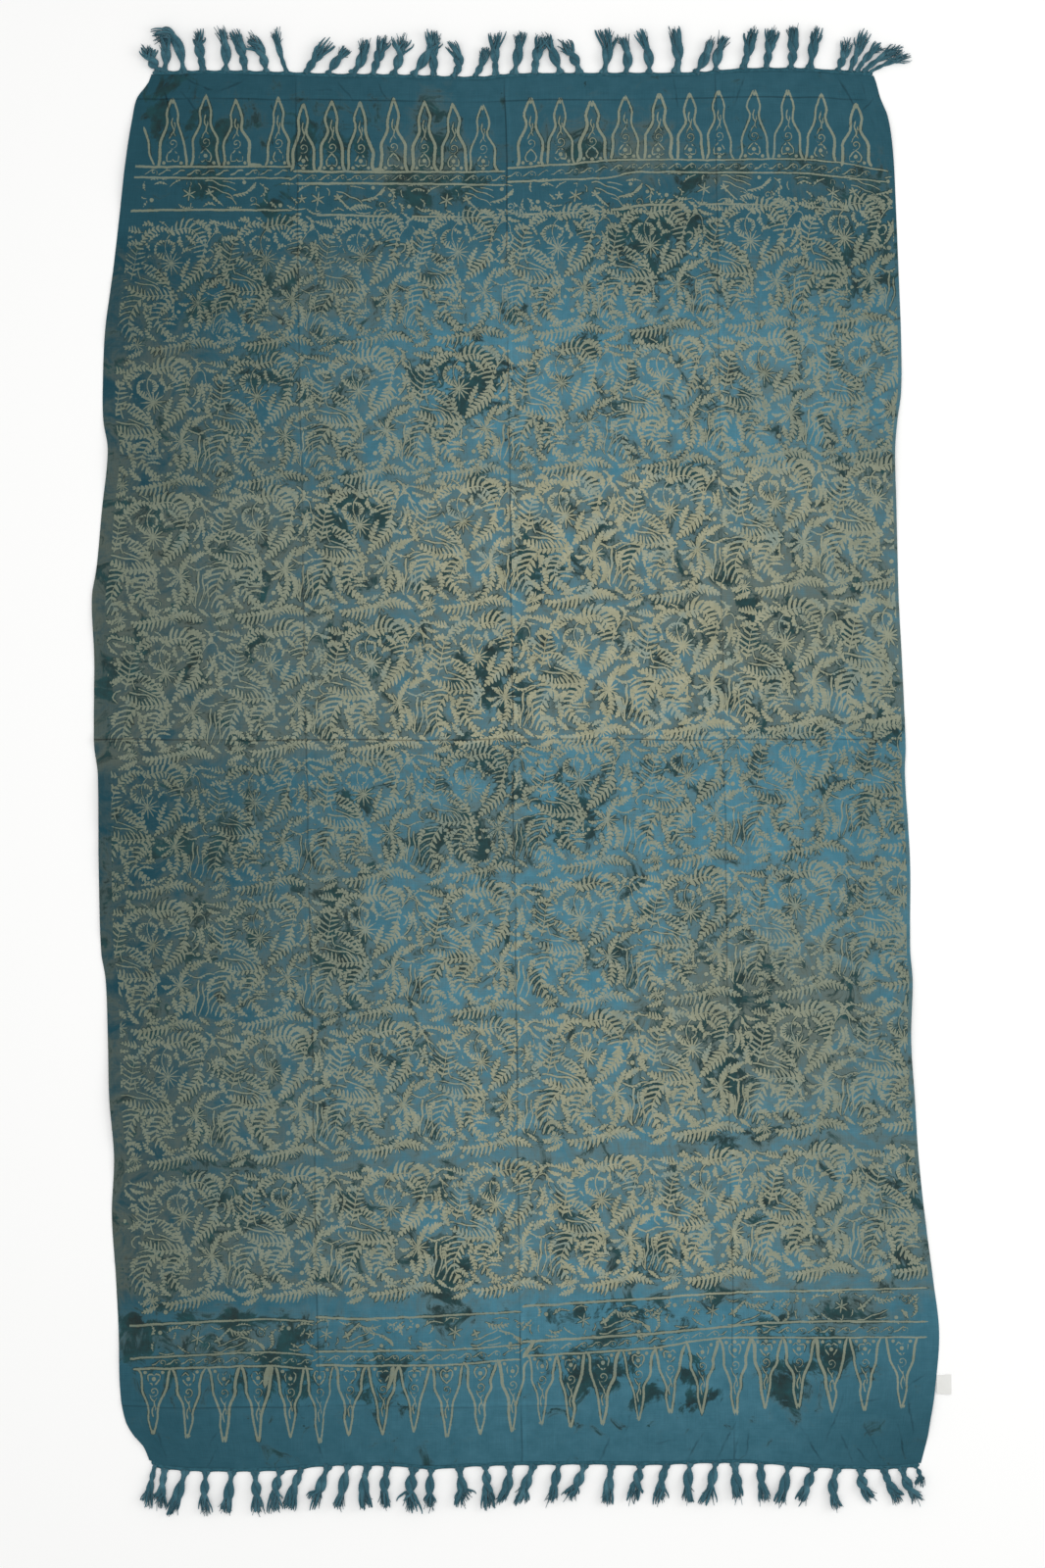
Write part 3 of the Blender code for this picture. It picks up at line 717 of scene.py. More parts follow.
# %% Stamp the field
StampRow = namedtuple("StampRow", "first_across first_up pitch rise bold")
STAMP_ROWS = [
    StampRow(-443, 620, 126.0, 4.2, 0.8),
    StampRow(-462, 438, 132.6, 5.9, 0.92),
    StampRow(-462, 262, 134.8, 7.0, 1.12),
    StampRow(-447, 84, 135.0, 6.8, 1.12),
    StampRow(-470, -93, 141.0, 8.7, 0.84),
    StampRow(-465, -271, 140.0, 8.5, 0.92),
    StampRow(-445, -445, 137.0, 7.3, 1.0),
    StampRow(-426, -627, 136.5, 6.0, 1.04),
]
STAMPS_IN_A_ROW = 8
STAMP_STROKE = 0.83
BAND_STROKE = 0.88


def set_down(face, across, up, turn, bold):
    """One impression of the stamp, with its fork at a place."""
    spin = np.array([[math.cos(turn), math.sin(turn)], [-math.sin(turn), math.cos(turn)]])
    for frond in FRONDS:
        route = smooth_route(frond.route) @ spin + (across, up)
        paint_frond(face, route, frond, frond.stroke * bold)
    for burst in BURSTS:
        x, y = np.array([burst.across, burst.up]) @ spin + (across, up)
        paint_burst(face, x, y, turn, burst, burst.stroke * bold)


for row in STAMP_ROWS:
    for n in range(STAMPS_IN_A_ROW):
        slip_x, slip_y = HAND.uniform(-2.5, 2.5, 2)
        turn = math.atan2(row.rise, row.pitch) + HAND.uniform(-0.02, 0.02)
        bold = STAMP_STROKE * row.bold * HAND.uniform(0.88, 1.1) * (0.94 + 0.02 * n)
        across, up = row.first_across + n * row.pitch + slip_x, row.first_up + n * row.rise + slip_y
        for face in faces:
            set_down(face, across, up, turn, bold)
print("stamped:", [[int(layer.sum()) for layer in face.frond_taken] for face in faces])
print("fronds left out for want of room:", [face.left_out for face in faces])

# %% [markdown]
# ## The borders
#
# Each end has a border of three parts: two lines with a row of little waves between them, a wider band of
# loose leaves and flowers, and a row of flames that point to the end. They are fronds as well, most of them
# bare stems, so the same painter draws them.

# %% Chart the borders
LINE = 3.1
BORDER_LINES = [
    [(-503, 788), (-400, 788), (-291, 788)],
    [(-289, 782), (-150, 781), (-13, 782)],
    [(-10, 786), (60, 791), (133, 797), (250, 797), (389, 797), (486, 782)],
    [(-502, 774), (-400, 773), (-291, 773)],
    [(-287, 766), (-150, 766), (-14, 764)],
    [(-10, 768), (120, 774), (161, 781), (305, 780), (380, 779), (486, 768)],
    [(-502, 730), (-400, 732), (-291, 731)],
    [(-287, 726), (-150, 723), (-14, 722)],
    [(-14, 724), (128, 732), (177, 738), (342, 738), (493, 726)],
    [(-511, -726), (-420, -721), (-330, -717), (-262, -720)],
    [(-260, -714), (-180, -716), (8, -707)],
    [(10, -700), (174, -690), (283, -682), (410, -679), (539, -676)],
    [(-507, -768), (-400, -763), (-323, -760), (-264, -765)],
    [(-260, -759), (-91, -757), (8, -750)],
    [(10, -746), (174, -736), (347, -721), (539, -720)],
    [(-498, -782), (-400, -780), (-323, -778), (-264, -782)],
    [(-260, -777), (-105, -777), (8, -769)],
    [(14, -765), (174, -755), (262, -742), (400, -741), (539, -740)],
]

Flame = namedtuple("Flame", "across tip")
TOP_FLAMES = [
    Flame(-448, 877), Flame(-405, 882), Flame(-364, 876), Flame(-310, 879), Flame(-277, 870),
    Flame(-240, 874), Flame(-202, 872), Flame(-159, 877), Flame(-119, 874), Flame(-81, 870), Flame(-42, 869),
    Flame(20, 877), Flame(59, 877), Flame(100, 873), Flame(143, 881), Flame(186, 883), Flame(228, 884),
    Flame(266, 888), Flame(311, 888), Flame(355, 888), Flame(398, 884), Flame(444, 870),
]
BOTTOM_FLAMES = [
    Flame(-472, -868), Flame(-427, -873), Flame(-381, -877), Flame(-336, -876), Flame(-294, -872),
    Flame(-256, -878), Flame(-216, -869), Flame(-173, -868), Flame(-132, -864), Flame(-90, -872),
    Flame(-46, -867), Flame(-4, -864), Flame(35, -856), Flame(72, -858), Flame(114, -855), Flame(160, -850),
    Flame(201, -840), Flame(244, -841), Flame(286, -841), Flame(327, -833), Flame(370, -833),
    Flame(412, -838), Flame(456, -836), Flame(504, -833),
]
FLAME_HEIGHT = 90

# A flame, in millimetres from the middle of its foot: half of its outline, then what fills it. The flames at
# the bottom meet at their feet in narrow arches, and have slimmer necks.
TOP_FLAME_SIDE = [(19, 1), (16.5, 8), (16.5, 24), (15.5, 34), (7.5, 50), (7, 60), (7.5, 70), (0.5, 90)]
BOTTOM_FLAME_SIDE = [(20.5, 1), (17.5, 7), (15, 23), (14, 32), (7.5, 46), (5.5, 58), (5, 68), (0.5, 90)]
FLAME_PARTS = [
    Frond([(0, 66), (-2, 56), (2, 48), (-3, 41), (-5, 35)], stroke=1.9),
    Frond([(2, 58), (3, 52), (0, 46), (4, 40)], stroke=1.5),
    Frond([(0, 23), (-6, 17), (-8, 10), (-4, 6), (0, 10)], stroke=2.1),
    Frond([(0, 23), (6, 17), (8, 10), (4, 6), (0, 10)], stroke=2.1),
]
FLAME_BURSTS = [
    Burst(0, 31, 7.5, 2.6, 1, 0.19), Burst(0, 14, 2.8, 7), Burst(-11, 5, 2.4, 7), Burst(11, 5, 2.4, 7),
    Burst(0, 4, 2.6, 7), Burst(0, 86, 3.4, 7),
]

# The first flame at the top left is only this short stroke
FIRST_STROKE = [(-485, 839), (-479, 820), (-478, 805), (-472, 791)]

# Pools where the wax ran together between two flames, each with its width
POOLS = [
    ([(-321, -780), (-325, -790), (-327, -804)], 7.5), ([(-160, -781), (-162, -794), (-167, -808)], 6),
    ([(-347, 790), (-333, 790)], 5.5), ([(-184, 784), (-172, 784)], 5.5),
    ([(11, -765), (18, -755), (24, -745)], 6),
]


# %% Paint the borders
def line_height(lines, x):
    """The height of the border line that passes over or under x."""
    for line in lines:
        points = np.array(line)
        if points[0, 0] <= x <= points[-1, 0]:
            return float(np.interp(x, points[:, 0], points[:, 1]))
    points = np.array(min(lines, key=lambda line: min(abs(line[0][0] - x), abs(line[-1][0] - x))))
    return float(np.interp(x, points[:, 0], points[:, 1]))


def paint_flame(face, flame, foot, half_pitch, bold):
    """One flame on its foot line. It points down where its tip is the lower one."""
    tall = (flame.tip - foot) / FLAME_HEIGHT
    wide = half_pitch / 20.5
    lean = HAND.uniform(-1.5, 1.5)

    def place(points, side=1):
        return [
            (flame.across + side * wide * x + lean * y / FLAME_HEIGHT, foot + tall * y)
            for x, y in points
        ]

    for side in (-1, 1):
        stroke = HAND.uniform(2.9, 4.4) * bold
        outline = TOP_FLAME_SIDE if tall > 0 else BOTTOM_FLAME_SIDE
        shaky = [(x + HAND.normal(0, 0.9), y) for x, y in outline]
        paint_frond(face, smooth_route(place(shaky, side)), Frond([]), stroke)
    for part in FLAME_PARTS:
        paint_frond(face, smooth_route(place(part.route)), part, part.stroke)
    for burst in FLAME_BURSTS:
        x, y = place([(burst.across, burst.up)])[0]
        paint_burst(face, x, y, 0, burst, burst.stroke)


for face in faces:
    HAND = np.random.default_rng(23)
    for line in BORDER_LINES:
        route = smooth_route(line, 8)
        route[1:-1, 1] += HAND.normal(0, 0.35, len(route) - 2)
        paint_frond(face, route, Frond([]), LINE * HAND.uniform(0.85, 1.15))
    paint_frond(face, smooth_route(FIRST_STROKE), Frond([]), LINE)
    for route, wide in POOLS:
        paint_frond(face, smooth_route(route), Frond([]), wide)
    for flames, lines in ((TOP_FLAMES, BORDER_LINES[:3]), (BOTTOM_FLAMES, BORDER_LINES[-3:])):
        for before, flame, after in zip([flames[0], *flames], flames, [*flames[1:], flames[-1]]):
            gaps = [abs(other.across - flame.across) for other in (before, after) if other != flame]
            half_pitch = min(*gaps, 42) / 2
            paint_flame(face, flame, line_height(lines, flame.across), half_pitch, HAND.uniform(0.85, 1.1))
print("flames:", len(TOP_FLAMES), "at the top and", len(BOTTOM_FLAMES), "at the bottom")

# %% [markdown]
# The band of leaves repeats about every 170 mm, and the row of waves about every 20 mm. They are the faintest
# part of the pattern, so their strokes are thin.

# %% Fill the bands
LEAF_BAND = [
    # Spikes over and under the star
    Frond([(0, 8), (-3, 13), (0, 19), (3, 13), (0, 8)], 0, 0, 5, 1.8),
    Frond([(0, -8), (3, -13), (0, -19), (-3, -13), (0, -8)], 0, 0, 5, 1.8),
    # The three wavy strands on its right
    Frond([(20, 17), (30, 18), (40, 12), (50, 10), (62, 4)], 0, 0, 5, 2.2),
    Frond([(24, 10), (34, 8), (42, 3), (52, 0), (58, -6)], 0, 0, 5, 2.0),
    Frond([(42, 17), (52, 16), (62, 13)], 0, 0, 5, 1.8),
    Frond([(12, 14), (16, 9), (14, 4)], 0, 0, 5, 1.8),
    # The fish, the comb and the fruit on its stalk
    Frond([(22, 4), (28, 0), (36, -8), (44, -15)], 0, 3, 4.4, 3.2),
    Frond([(40, -13), (50, -9), (60, -8), (72, -12)], 0, 7, 4.4, 2.2),
    Frond([(57, -2), (66, 0), (76, 3), (81, 9), (86, 14)], 0, 4, 4.4, 2.8),
    Frond([(80, 6), (84, 10), (87, 15)], 3, 3, 3.6, 4.2),
    # What fills the rest
    Frond([(-58, 16), (-60, 10), (-57, 4)], 3, 0, 4, 2.0),
    Frond([(-46, 12), (-38, 16), (-28, 12)], 0, 4, 4.4, 2.2),
    Frond([(-40, -8), (-30, -14), (-16, -12)], 4, 0, 4.4, 2.2),
    Frond([(-34, 2), (-28, -4), (-30, -9)], 3, 0, 4, 2.0),
    Frond([(92, 14), (99, 8), (98, 0), (92, -4)], 5, 0, 4.4, 2.2),
    Frond([(92, -16), (86, -12), (78, -16)], 3, 0, 4, 2.0),
    Frond([(102, -12), (97, -6), (100, 2)], 0, 4, 4.4, 2.0),
    Frond([(10, 20), (20, 22), (32, 21)], 0, 0, 5, 1.8),
    Frond([(66, 19), (76, 21), (86, 19)], 0, 3, 4.0, 2.0),
    Frond([(-14, -13), (-6, -19), (6, -17)], 3, 0, 4.0, 2.0),
    Frond([(-62, -4), (-56, -10), (-60, -17)], 3, 3, 4.0, 2.0),
    Frond([(-50, 19), (-40, 21), (-30, 19)], 0, 3, 4.0, 2.0),
    Frond([(50, -17), (60, -19), (70, -17)], 3, 0, 3.6, 2.0),
    Frond([(-26, 9), (-20, 15), (-10, 19)], 3, 0, 4.0, 2.0),
    Frond([(88, -3), (93, -9), (101, -17)], 3, 3, 4.0, 2.0),
    Frond([(34, -15), (26, -12), (17, -17)], 0, 3, 4.0, 2.0),
    Frond([(62, -14), (56, -6), (47, -3)], 0, 0, 5, 1.8),
]
LEAF_BAND_BURSTS = [
    Burst(0, 0, 10, 3.6, 6),
    Burst(-21, 0, 6.5, 3.6, 5),
    Burst(27, 2, 6.5, 5.0, 4),
    Burst(83, -8, 6.5, 2.4, 1, 0.22),
    Burst(-15, 12, 2.8, 7),
    Burst(-49, -8, 2.8, 7),
    Burst(12, -12, 2.8, 7),
    Burst(72, 15, 2.6, 7),
    Burst(73, -2, 2.6, 7),
    Burst(94, 5, 2.6, 7),
]
LEAF_BAND_PITCH = 168
WAVE = Frond([(-10, -3), (-6, -3), (-2, 1), (3, 4), (7, 2)], stroke=2.0)
WAVE_CURL = Burst(4, 0, 5, 2.4, 1, 0.24)
WAVE_PITCH = 19

TOP_LINES = (BORDER_LINES[:3], BORDER_LINES[3:6], BORDER_LINES[6:9])
BOTTOM_LINES = (BORDER_LINES[-3:], BORDER_LINES[-6:-3], BORDER_LINES[-9:-6])
BANDS = [(TOP_LINES, 1, -426, 460), (BOTTOM_LINES, -1, -415, 500)]


# %% Paint the bands
def middle_of(first_lines, second_lines, x):
    """The height halfway between two border lines."""
    return (line_height(first_lines, x) + line_height(second_lines, x)) / 2


for face in faces:
    HAND = np.random.default_rng(29)
    for (foot, inner, outer), end, start_x, end_x in BANDS:
        for x in np.arange(start_x, end_x, LEAF_BAND_PITCH):
            y = middle_of(inner, outer, x)
            bold = HAND.uniform(0.85, 1.1)
            for frond in LEAF_BAND:
                if HAND.random() < 0.92:
                    route = smooth_route([(x + a, y + end * b) for a, b in frond.route])
                    paint_frond(face, route, frond, BAND_STROKE * frond.stroke * bold)
            for burst in LEAF_BAND_BURSTS:
                paint_burst(face, x + burst.across, y + end * burst.up, 0.4, burst, burst.stroke * bold)
        for x in np.arange(start_x - 50, end_x + 10, WAVE_PITCH):
            y = middle_of(foot, inner, x)
            route = smooth_route([(x + a, y + b) for a, b in WAVE.route])
            paint_frond(face, route, WAVE, WAVE.stroke * HAND.uniform(0.6, 1.1))
            stroke = WAVE_CURL.stroke * HAND.uniform(0.6, 1.1)
            paint_burst(face, x + WAVE_CURL.across, y, 0, WAVE_CURL, stroke)
print("painted:", [[int(layer.sum()) for layer in face.frond_taken] for face in faces])

# %% [markdown]
# ## The dye, and painted shade
#
# After the first dye bath a darker dye was dabbed on by hand, and it ran: it stands darkest round the wax
# and fades outwards, in places brown, in places nearly black. The dabs are placed in the picture's pixels,
# which a function turns to millimetres on the cloth. Each row of stamps has its own strength, and the browner
# ground goes with the stronger rows. Painted shade makes the cloth darker towards its left side and its ends.

# %% Dab on the dark dye
PICTURE_MIDDLE = (526, 786)
MM_A_PIXEL = 1.28

Dab = namedtuple("Dab", "picture_x picture_y wide tall dark brown")
DABS = [
    Dab(215, 140, 22, 24, 0.7, 0.2), Dab(345, 148, 26, 20, 0.8, 0.2), Dab(430, 172, 30, 20, 0.5, 0.6),
    Dab(458, 186, 26, 12, 0.7, 0.3), Dab(590, 150, 20, 20, 0.6, 0.5), Dab(735, 182, 22, 12, 0.5, 0.5),
    Dab(845, 176, 28, 14, 0.6, 0.4), Dab(880, 200, 24, 18, 0.6, 0.4), Dab(200, 182, 16, 14, 0.7, 0.1),
    Dab(285, 206, 10, 16, 0.6, 0.1), Dab(655, 158, 24, 20, 0.2, 0.5), Dab(700, 195, 16, 22, 0.6, 0.3),
    Dab(665, 250, 42, 36, 1.0, 0.4), Dab(880, 262, 36, 30, 0.9, 0.4), Dab(240, 292, 52, 18, 0.8, 0.3),
    Dab(330, 290, 24, 16, 0.6, 0.2), Dab(905, 236, 20, 20, 0.7, 0.3), Dab(200, 312, 26, 14, 0.7, 0.2),
    Dab(620, 350, 40, 14, 0.6, 0.3), Dab(265, 388, 36, 24, 0.9, 0.3), Dab(470, 385, 38, 34, 1.0, 0.4),
    Dab(320, 366, 28, 14, 0.5, 0.3), Dab(165, 366, 30, 14, 0.4, 0.5), Dab(240, 432, 34, 20, 0.5, 0.4),
    Dab(690, 484, 34, 14, 0.8, 0.4), Dab(790, 400, 30, 30, 0.2, 0.5), Dab(140, 512, 32, 28, 0.6, 0.4),
    Dab(352, 524, 46, 32, 0.9, 0.5), Dab(205, 548, 30, 22, 0.6, 0.4), Dab(330, 602, 64, 22, 0.7, 0.6),
    Dab(565, 582, 32, 30, 0.9, 0.5), Dab(612, 520, 28, 20, 0.5, 0.4), Dab(700, 540, 30, 26, 0.6, 0.4),
    Dab(775, 562, 30, 20, 0.5, 0.5), Dab(110, 590, 18, 24, 0.6, 0.1), Dab(258, 584, 26, 20, 0.5, 0.4),
    Dab(150, 684, 30, 26, 0.6, 0.6), Dab(384, 650, 50, 22, 0.8, 0.5), Dab(505, 700, 36, 34, 1.0, 0.6),
    Dab(540, 655, 30, 22, 0.6, 0.5), Dab(700, 664, 44, 30, 0.6, 0.6), Dab(640, 722, 30, 20, 0.5, 0.5),
    Dab(868, 690, 28, 24, 0.5, 0.5), Dab(760, 715, 30, 20, 0.5, 0.4), Dab(910, 745, 16, 20, 0.8, 0.3),
    Dab(108, 700, 12, 60, 0.8, 0.0), Dab(510, 780, 32, 40, 0.8, 0.5), Dab(492, 850, 40, 30, 0.9, 0.7),
    Dab(572, 832, 36, 22, 0.9, 0.4), Dab(860, 802, 22, 14, 0.5, 0.2), Dab(360, 818, 18, 12, 0.7, 0.2),
    Dab(205, 862, 44, 18, 0.8, 0.5), Dab(120, 850, 16, 24, 0.6, 0.1), Dab(340, 950, 24, 58, 0.9, 0.7),
    Dab(210, 928, 34, 18, 0.7, 0.6), Dab(385, 880, 26, 18, 0.5, 0.5), Dab(730, 935, 30, 34, 0.7, 0.6),
    Dab(690, 990, 26, 22, 0.6, 0.5), Dab(165, 930, 28, 24, 0.4, 0.5), Dab(860, 975, 26, 20, 0.3, 0.4),
    Dab(392, 1072, 34, 22, 0.6, 0.4), Dab(425, 1098, 26, 20, 0.6, 0.4), Dab(742, 1082, 34, 40, 1.0, 0.5),
    Dab(330, 1112, 26, 18, 0.5, 0.3), Dab(200, 1190, 34, 14, 0.6, 0.3), Dab(860, 1046, 26, 18, 0.4, 0.4),
    Dab(660, 1122, 26, 18, 0.4, 0.5), Dab(252, 1222, 50, 24, 0.8, 0.4), Dab(455, 1290, 30, 46, 0.9, 0.6),
    Dab(395, 1232, 30, 18, 0.5, 0.3), Dab(600, 1268, 40, 28, 0.7, 0.6), Dab(662, 1292, 28, 22, 0.8, 0.4),
    Dab(782, 1232, 30, 20, 0.6, 0.5), Dab(742, 1160, 24, 18, 0.6, 0.4), Dab(920, 1292, 26, 20, 0.6, 0.4),
    Dab(930, 1215, 20, 20, 0.7, 0.4), Dab(215, 1362, 30, 16, 0.7, 0.3), Dab(160, 1382, 30, 20, 0.7, 0.2),
    Dab(425, 1358, 16, 16, 0.5, 0.3), Dab(630, 1362, 26, 16, 0.7, 0.4), Dab(592, 1398, 18, 26, 0.8, 0.3),
    Dab(790, 1356, 24, 14, 0.6, 0.3), Dab(868, 1336, 22, 14, 0.4, 0.6), Dab(850, 1388, 22, 18, 0.7, 0.3),
    Dab(388, 1412, 16, 22, 0.8, 0.2), Dab(705, 1425, 14, 14, 0.5, 0.1), Dab(120, 905, 14, 50, 0.5, 0.1),
    Dab(163, 112, 9, 22, 0.9, 0.1), Dab(187, 85, 12, 10, 0.7, 0.1), Dab(198, 132, 14, 14, 0.7, 0.1),
    Dab(240, 128, 18, 10, 0.7, 0.3), Dab(206, 192, 16, 12, 0.9, 0.1), Dab(275, 208, 8, 12, 0.9, 0.1),
    Dab(312, 145, 16, 24, 0.9, 0.2), Dab(335, 128, 14, 14, 0.7, 0.3), Dab(175, 1350, 40, 12, 0.9, 0.4),
    Dab(240, 1348, 46, 10, 0.9, 0.5), Dab(300, 1370, 28, 14, 0.8, 0.3), Dab(274, 1402, 10, 26, 0.9, 0.2),
    Dab(306, 1404, 14, 22, 0.8, 0.1), Dab(247, 1410, 8, 16, 0.7, 0.1), Dab(395, 1402, 12, 22, 0.8, 0.3),
    Dab(622, 1338, 26, 14, 0.8, 0.3), Dab(630, 1392, 12, 20, 0.8, 0.2), Dab(612, 1404, 14, 16, 0.8, 0.3),
    Dab(860, 1340, 36, 16, 0.7, 0.6), Dab(838, 1378, 12, 22, 1.0, 0.4), Dab(806, 1412, 10, 22, 0.9, 0.4),
    Dab(815, 1395, 22, 12, 0.7, 0.3), Dab(708, 1402, 10, 14, 0.7, 0.1), Dab(726, 1424, 22, 8, 0.6, 0.1),
    Dab(660, 1424, 12, 10, 0.6, 0.1), Dab(700, 1312, 30, 10, 0.4, 0.4), Dab(470, 1296, 16, 20, 0.9, 0.3),
    Dab(228, 1362, 80, 18, 0.5, 0.5), Dab(440, 146, 14, 26, 0.8, 0.5), Dab(428, 203, 34, 9, 0.8, 0.4),
    Dab(775, 630, 80, 66, 0.6, 0.85), Dab(772, 1040, 80, 66, 0.65, 0.85), Dab(250, 1346, 40, 7, 1.0, 0.4),
    Dab(640, 530, 70, 40, 0.45, 0.6), Dab(330, 300, 60, 30, 0.45, 0.5), Dab(150, 690, 50, 40, 0.45, 0.6),
    Dab(125, 500, 40, 70, 0.5, 0.5), Dab(120, 900, 30, 70, 0.45, 0.4),
]

print("dabs:", len(DABS))

# %% Work out the dye and the painted shade at every point
# Where the stamped field ends, how the rows lie, and the line of painted shade where the turned hem meets the
# cloth
FIELD_END = 715
FIELD_FADE = 40
ROW_SLOPE = 0.053
ROW_MIDDLE = 440
ROW_MIDDLE_UP = 10
ROW_HALF = 76
HEM_SHADE_AT = 2.2
HEM_SHADE_HALF = 1.5


def dab_distance(dab, x, y):
    """How far each point lies from a dab's middle, squared, as a part of the dab's own size."""
    middle_x = (dab.picture_x - PICTURE_MIDDLE[0]) * MM_A_PIXEL
    middle_y = (PICTURE_MIDDLE[1] - dab.picture_y) * MM_A_PIXEL
    across, up = (x - middle_x) / (dab.wide * MM_A_PIXEL), (y - middle_y) / (dab.tall * MM_A_PIXEL)
    return across**2 + up**2


def dye_and_shade_numbers(x, y):
    """For each point: how dark the dabs and the painted hem shade are, how brown, the ground's painted shade,
    and how strong the wax.
    """
    field = np.clip((FIELD_END - np.abs(y)) / FIELD_FADE, 0, 1)
    # Each row of stamps has one strength over its own height, and it changes between the rows
    upwards = STAMP_ROWS[::-1]
    row_ups = [row.first_up + ROW_MIDDLE * row.rise / row.pitch + ROW_MIDDLE_UP for row in upwards]
    row_edges = np.add.outer(row_ups, (-ROW_HALF, ROW_HALF)).ravel()
    row_strengths = np.repeat([0.8 * row.bold + 0.08 for row in upwards], 2)
    strength = np.interp(y - ROW_SLOPE * x, row_edges, row_strengths)
    dark = (0.2 + 0.5 * (strength - 0.75)) * field
    brown = (0.4 + 1.0 * (strength - 0.85)) * field
    # The dabs lie over the rows' own haze, and a line of painted shade runs along each end, where the hem is
    # turned
    for dab in DABS:
        far = dab_distance(dab, x, y)
        dark = np.maximum(dark, dab.dark * np.exp(-0.42 * far))
        brown = np.maximum(brown, dab.brown * np.exp(-0.24 * far))
    dark = dark * (1.3 - 0.3 * field)
    to_top, to_bottom = np.interp(x, laid_x[-1], laid_y[-1]) - y, y - np.interp(x, laid_x[0], laid_y[0])
    to_end = np.minimum(to_top, to_bottom)
    dark = np.maximum(dark, 0.8 * np.exp(-(((to_end - HEM_SHADE_AT) / HEM_SHADE_HALF) ** 2)))
    # Painted shade darkens the ground towards both sides and both ends, most at the top and the left
    left = np.clip((-40 - x) / 440, 0, 1)
    right = np.clip((x - 330) / 180, 0, 1)
    top = np.clip((y - 560) / 160, 0, 1)
    bottom = np.clip((-y - 650) / 230, 0, 1) * (0.5 + 0.16 * right)
    left_shade = (0.64 + 0.33 * field) * left
    shade = 1 - (1 - left_shade) * (1 - 0.25 * right) * (1 - 0.72 * top) * (1 - bottom)
    # The wax is weaker towards both sides, by painted shade towards the left, and thinner in the borders
    strength = strength * (1 - 0.42 * left) * (1 - 0.2 * np.clip((x - 200) / 250, 0, 1))
    strength = np.where(np.abs(y) > FIELD_END - 25, 0.66 - 0.15 * left, strength)
    return np.stack([dark, brown, shade, np.clip(strength, 0.2, 1)], axis=-1)


# %% [markdown]
# The numbers now go on the mesh as named colour attributes, one colour for each corner. A shader reads them
# by those names.

# %% Store the numbers on the mesh
def store_on_corners(mesh, name, per_face, unused):
    """Stores numbers on the corners of the face and underside squares. The rim gets the unused ones."""
    numbers = np.tile(np.array(unused, float), (len(mesh.loops), 1))
    painted = np.concatenate([per_face[0].reshape(-1, 4), per_face[1][:, ::-1].reshape(-1, 4)])
    numbers[:len(painted)] = painted
    layer = mesh.attributes.new(name, "FLOAT_COLOR", "CORNER")
    layer.data.foreach_set("color", numbers.astype(np.float32).ravel())


for n in range(FROND_LAYERS):
    store_on_corners(panel.data, f"fronds_{n}", [face.fronds[n] for face in faces], NO_FROND)
store_on_corners(panel.data, "burst_places", [face.burst_places for face in faces], NO_BURST)
store_on_corners(panel.data, "burst_rays", [face.burst_rays for face in faces], NO_RAYS)
store_on_corners(panel.data, "creases", [face.creases for face in faces], NO_CREASE)
# This layer holds painted shade too: along the hems in its first number, on the ground in its third, and
# towards the left in the wax's strength, its fourth
store_on_corners(panel.data, "dye_and_shade", [dye_and_shade_numbers(face.x, face.y) for face in faces], (0, 0, 0.5, 1))
print("attributes:", [attribute.name for attribute in panel.data.attributes if attribute.domain == "CORNER"])

# %% [markdown]
# ## From numbers to strokes
#
# Two node groups turn the numbers into a height that is above nought inside a stroke. In a frond, a leaflet
# is a line where the way along, less a slant for the way out, is a whole number of pitches. The strokes thin
# out towards the leaflets' tips, and short leaves are filled in near their stem. In a burst, the angle takes
# the place of the way along. A second output says how strongly a stroke claims a point, for where two cross.

# %% Open a group
def open_group(name, inputs):
    """A node group with named inputs and two numbers as its outputs, the height and the claim."""
    tree = bpy.data.node_groups.new(name, "ShaderNodeTree")
    for label, kind in inputs:
        tree.interface.new_socket(label, in_out="INPUT", socket_type=kind)
    for label in ("Height", "Claim"):
        tree.interface.new_socket(label, in_out="OUTPUT", socket_type="NodeSocketFloat")
    return tree, tree.nodes.new("NodeGroupInput").outputs


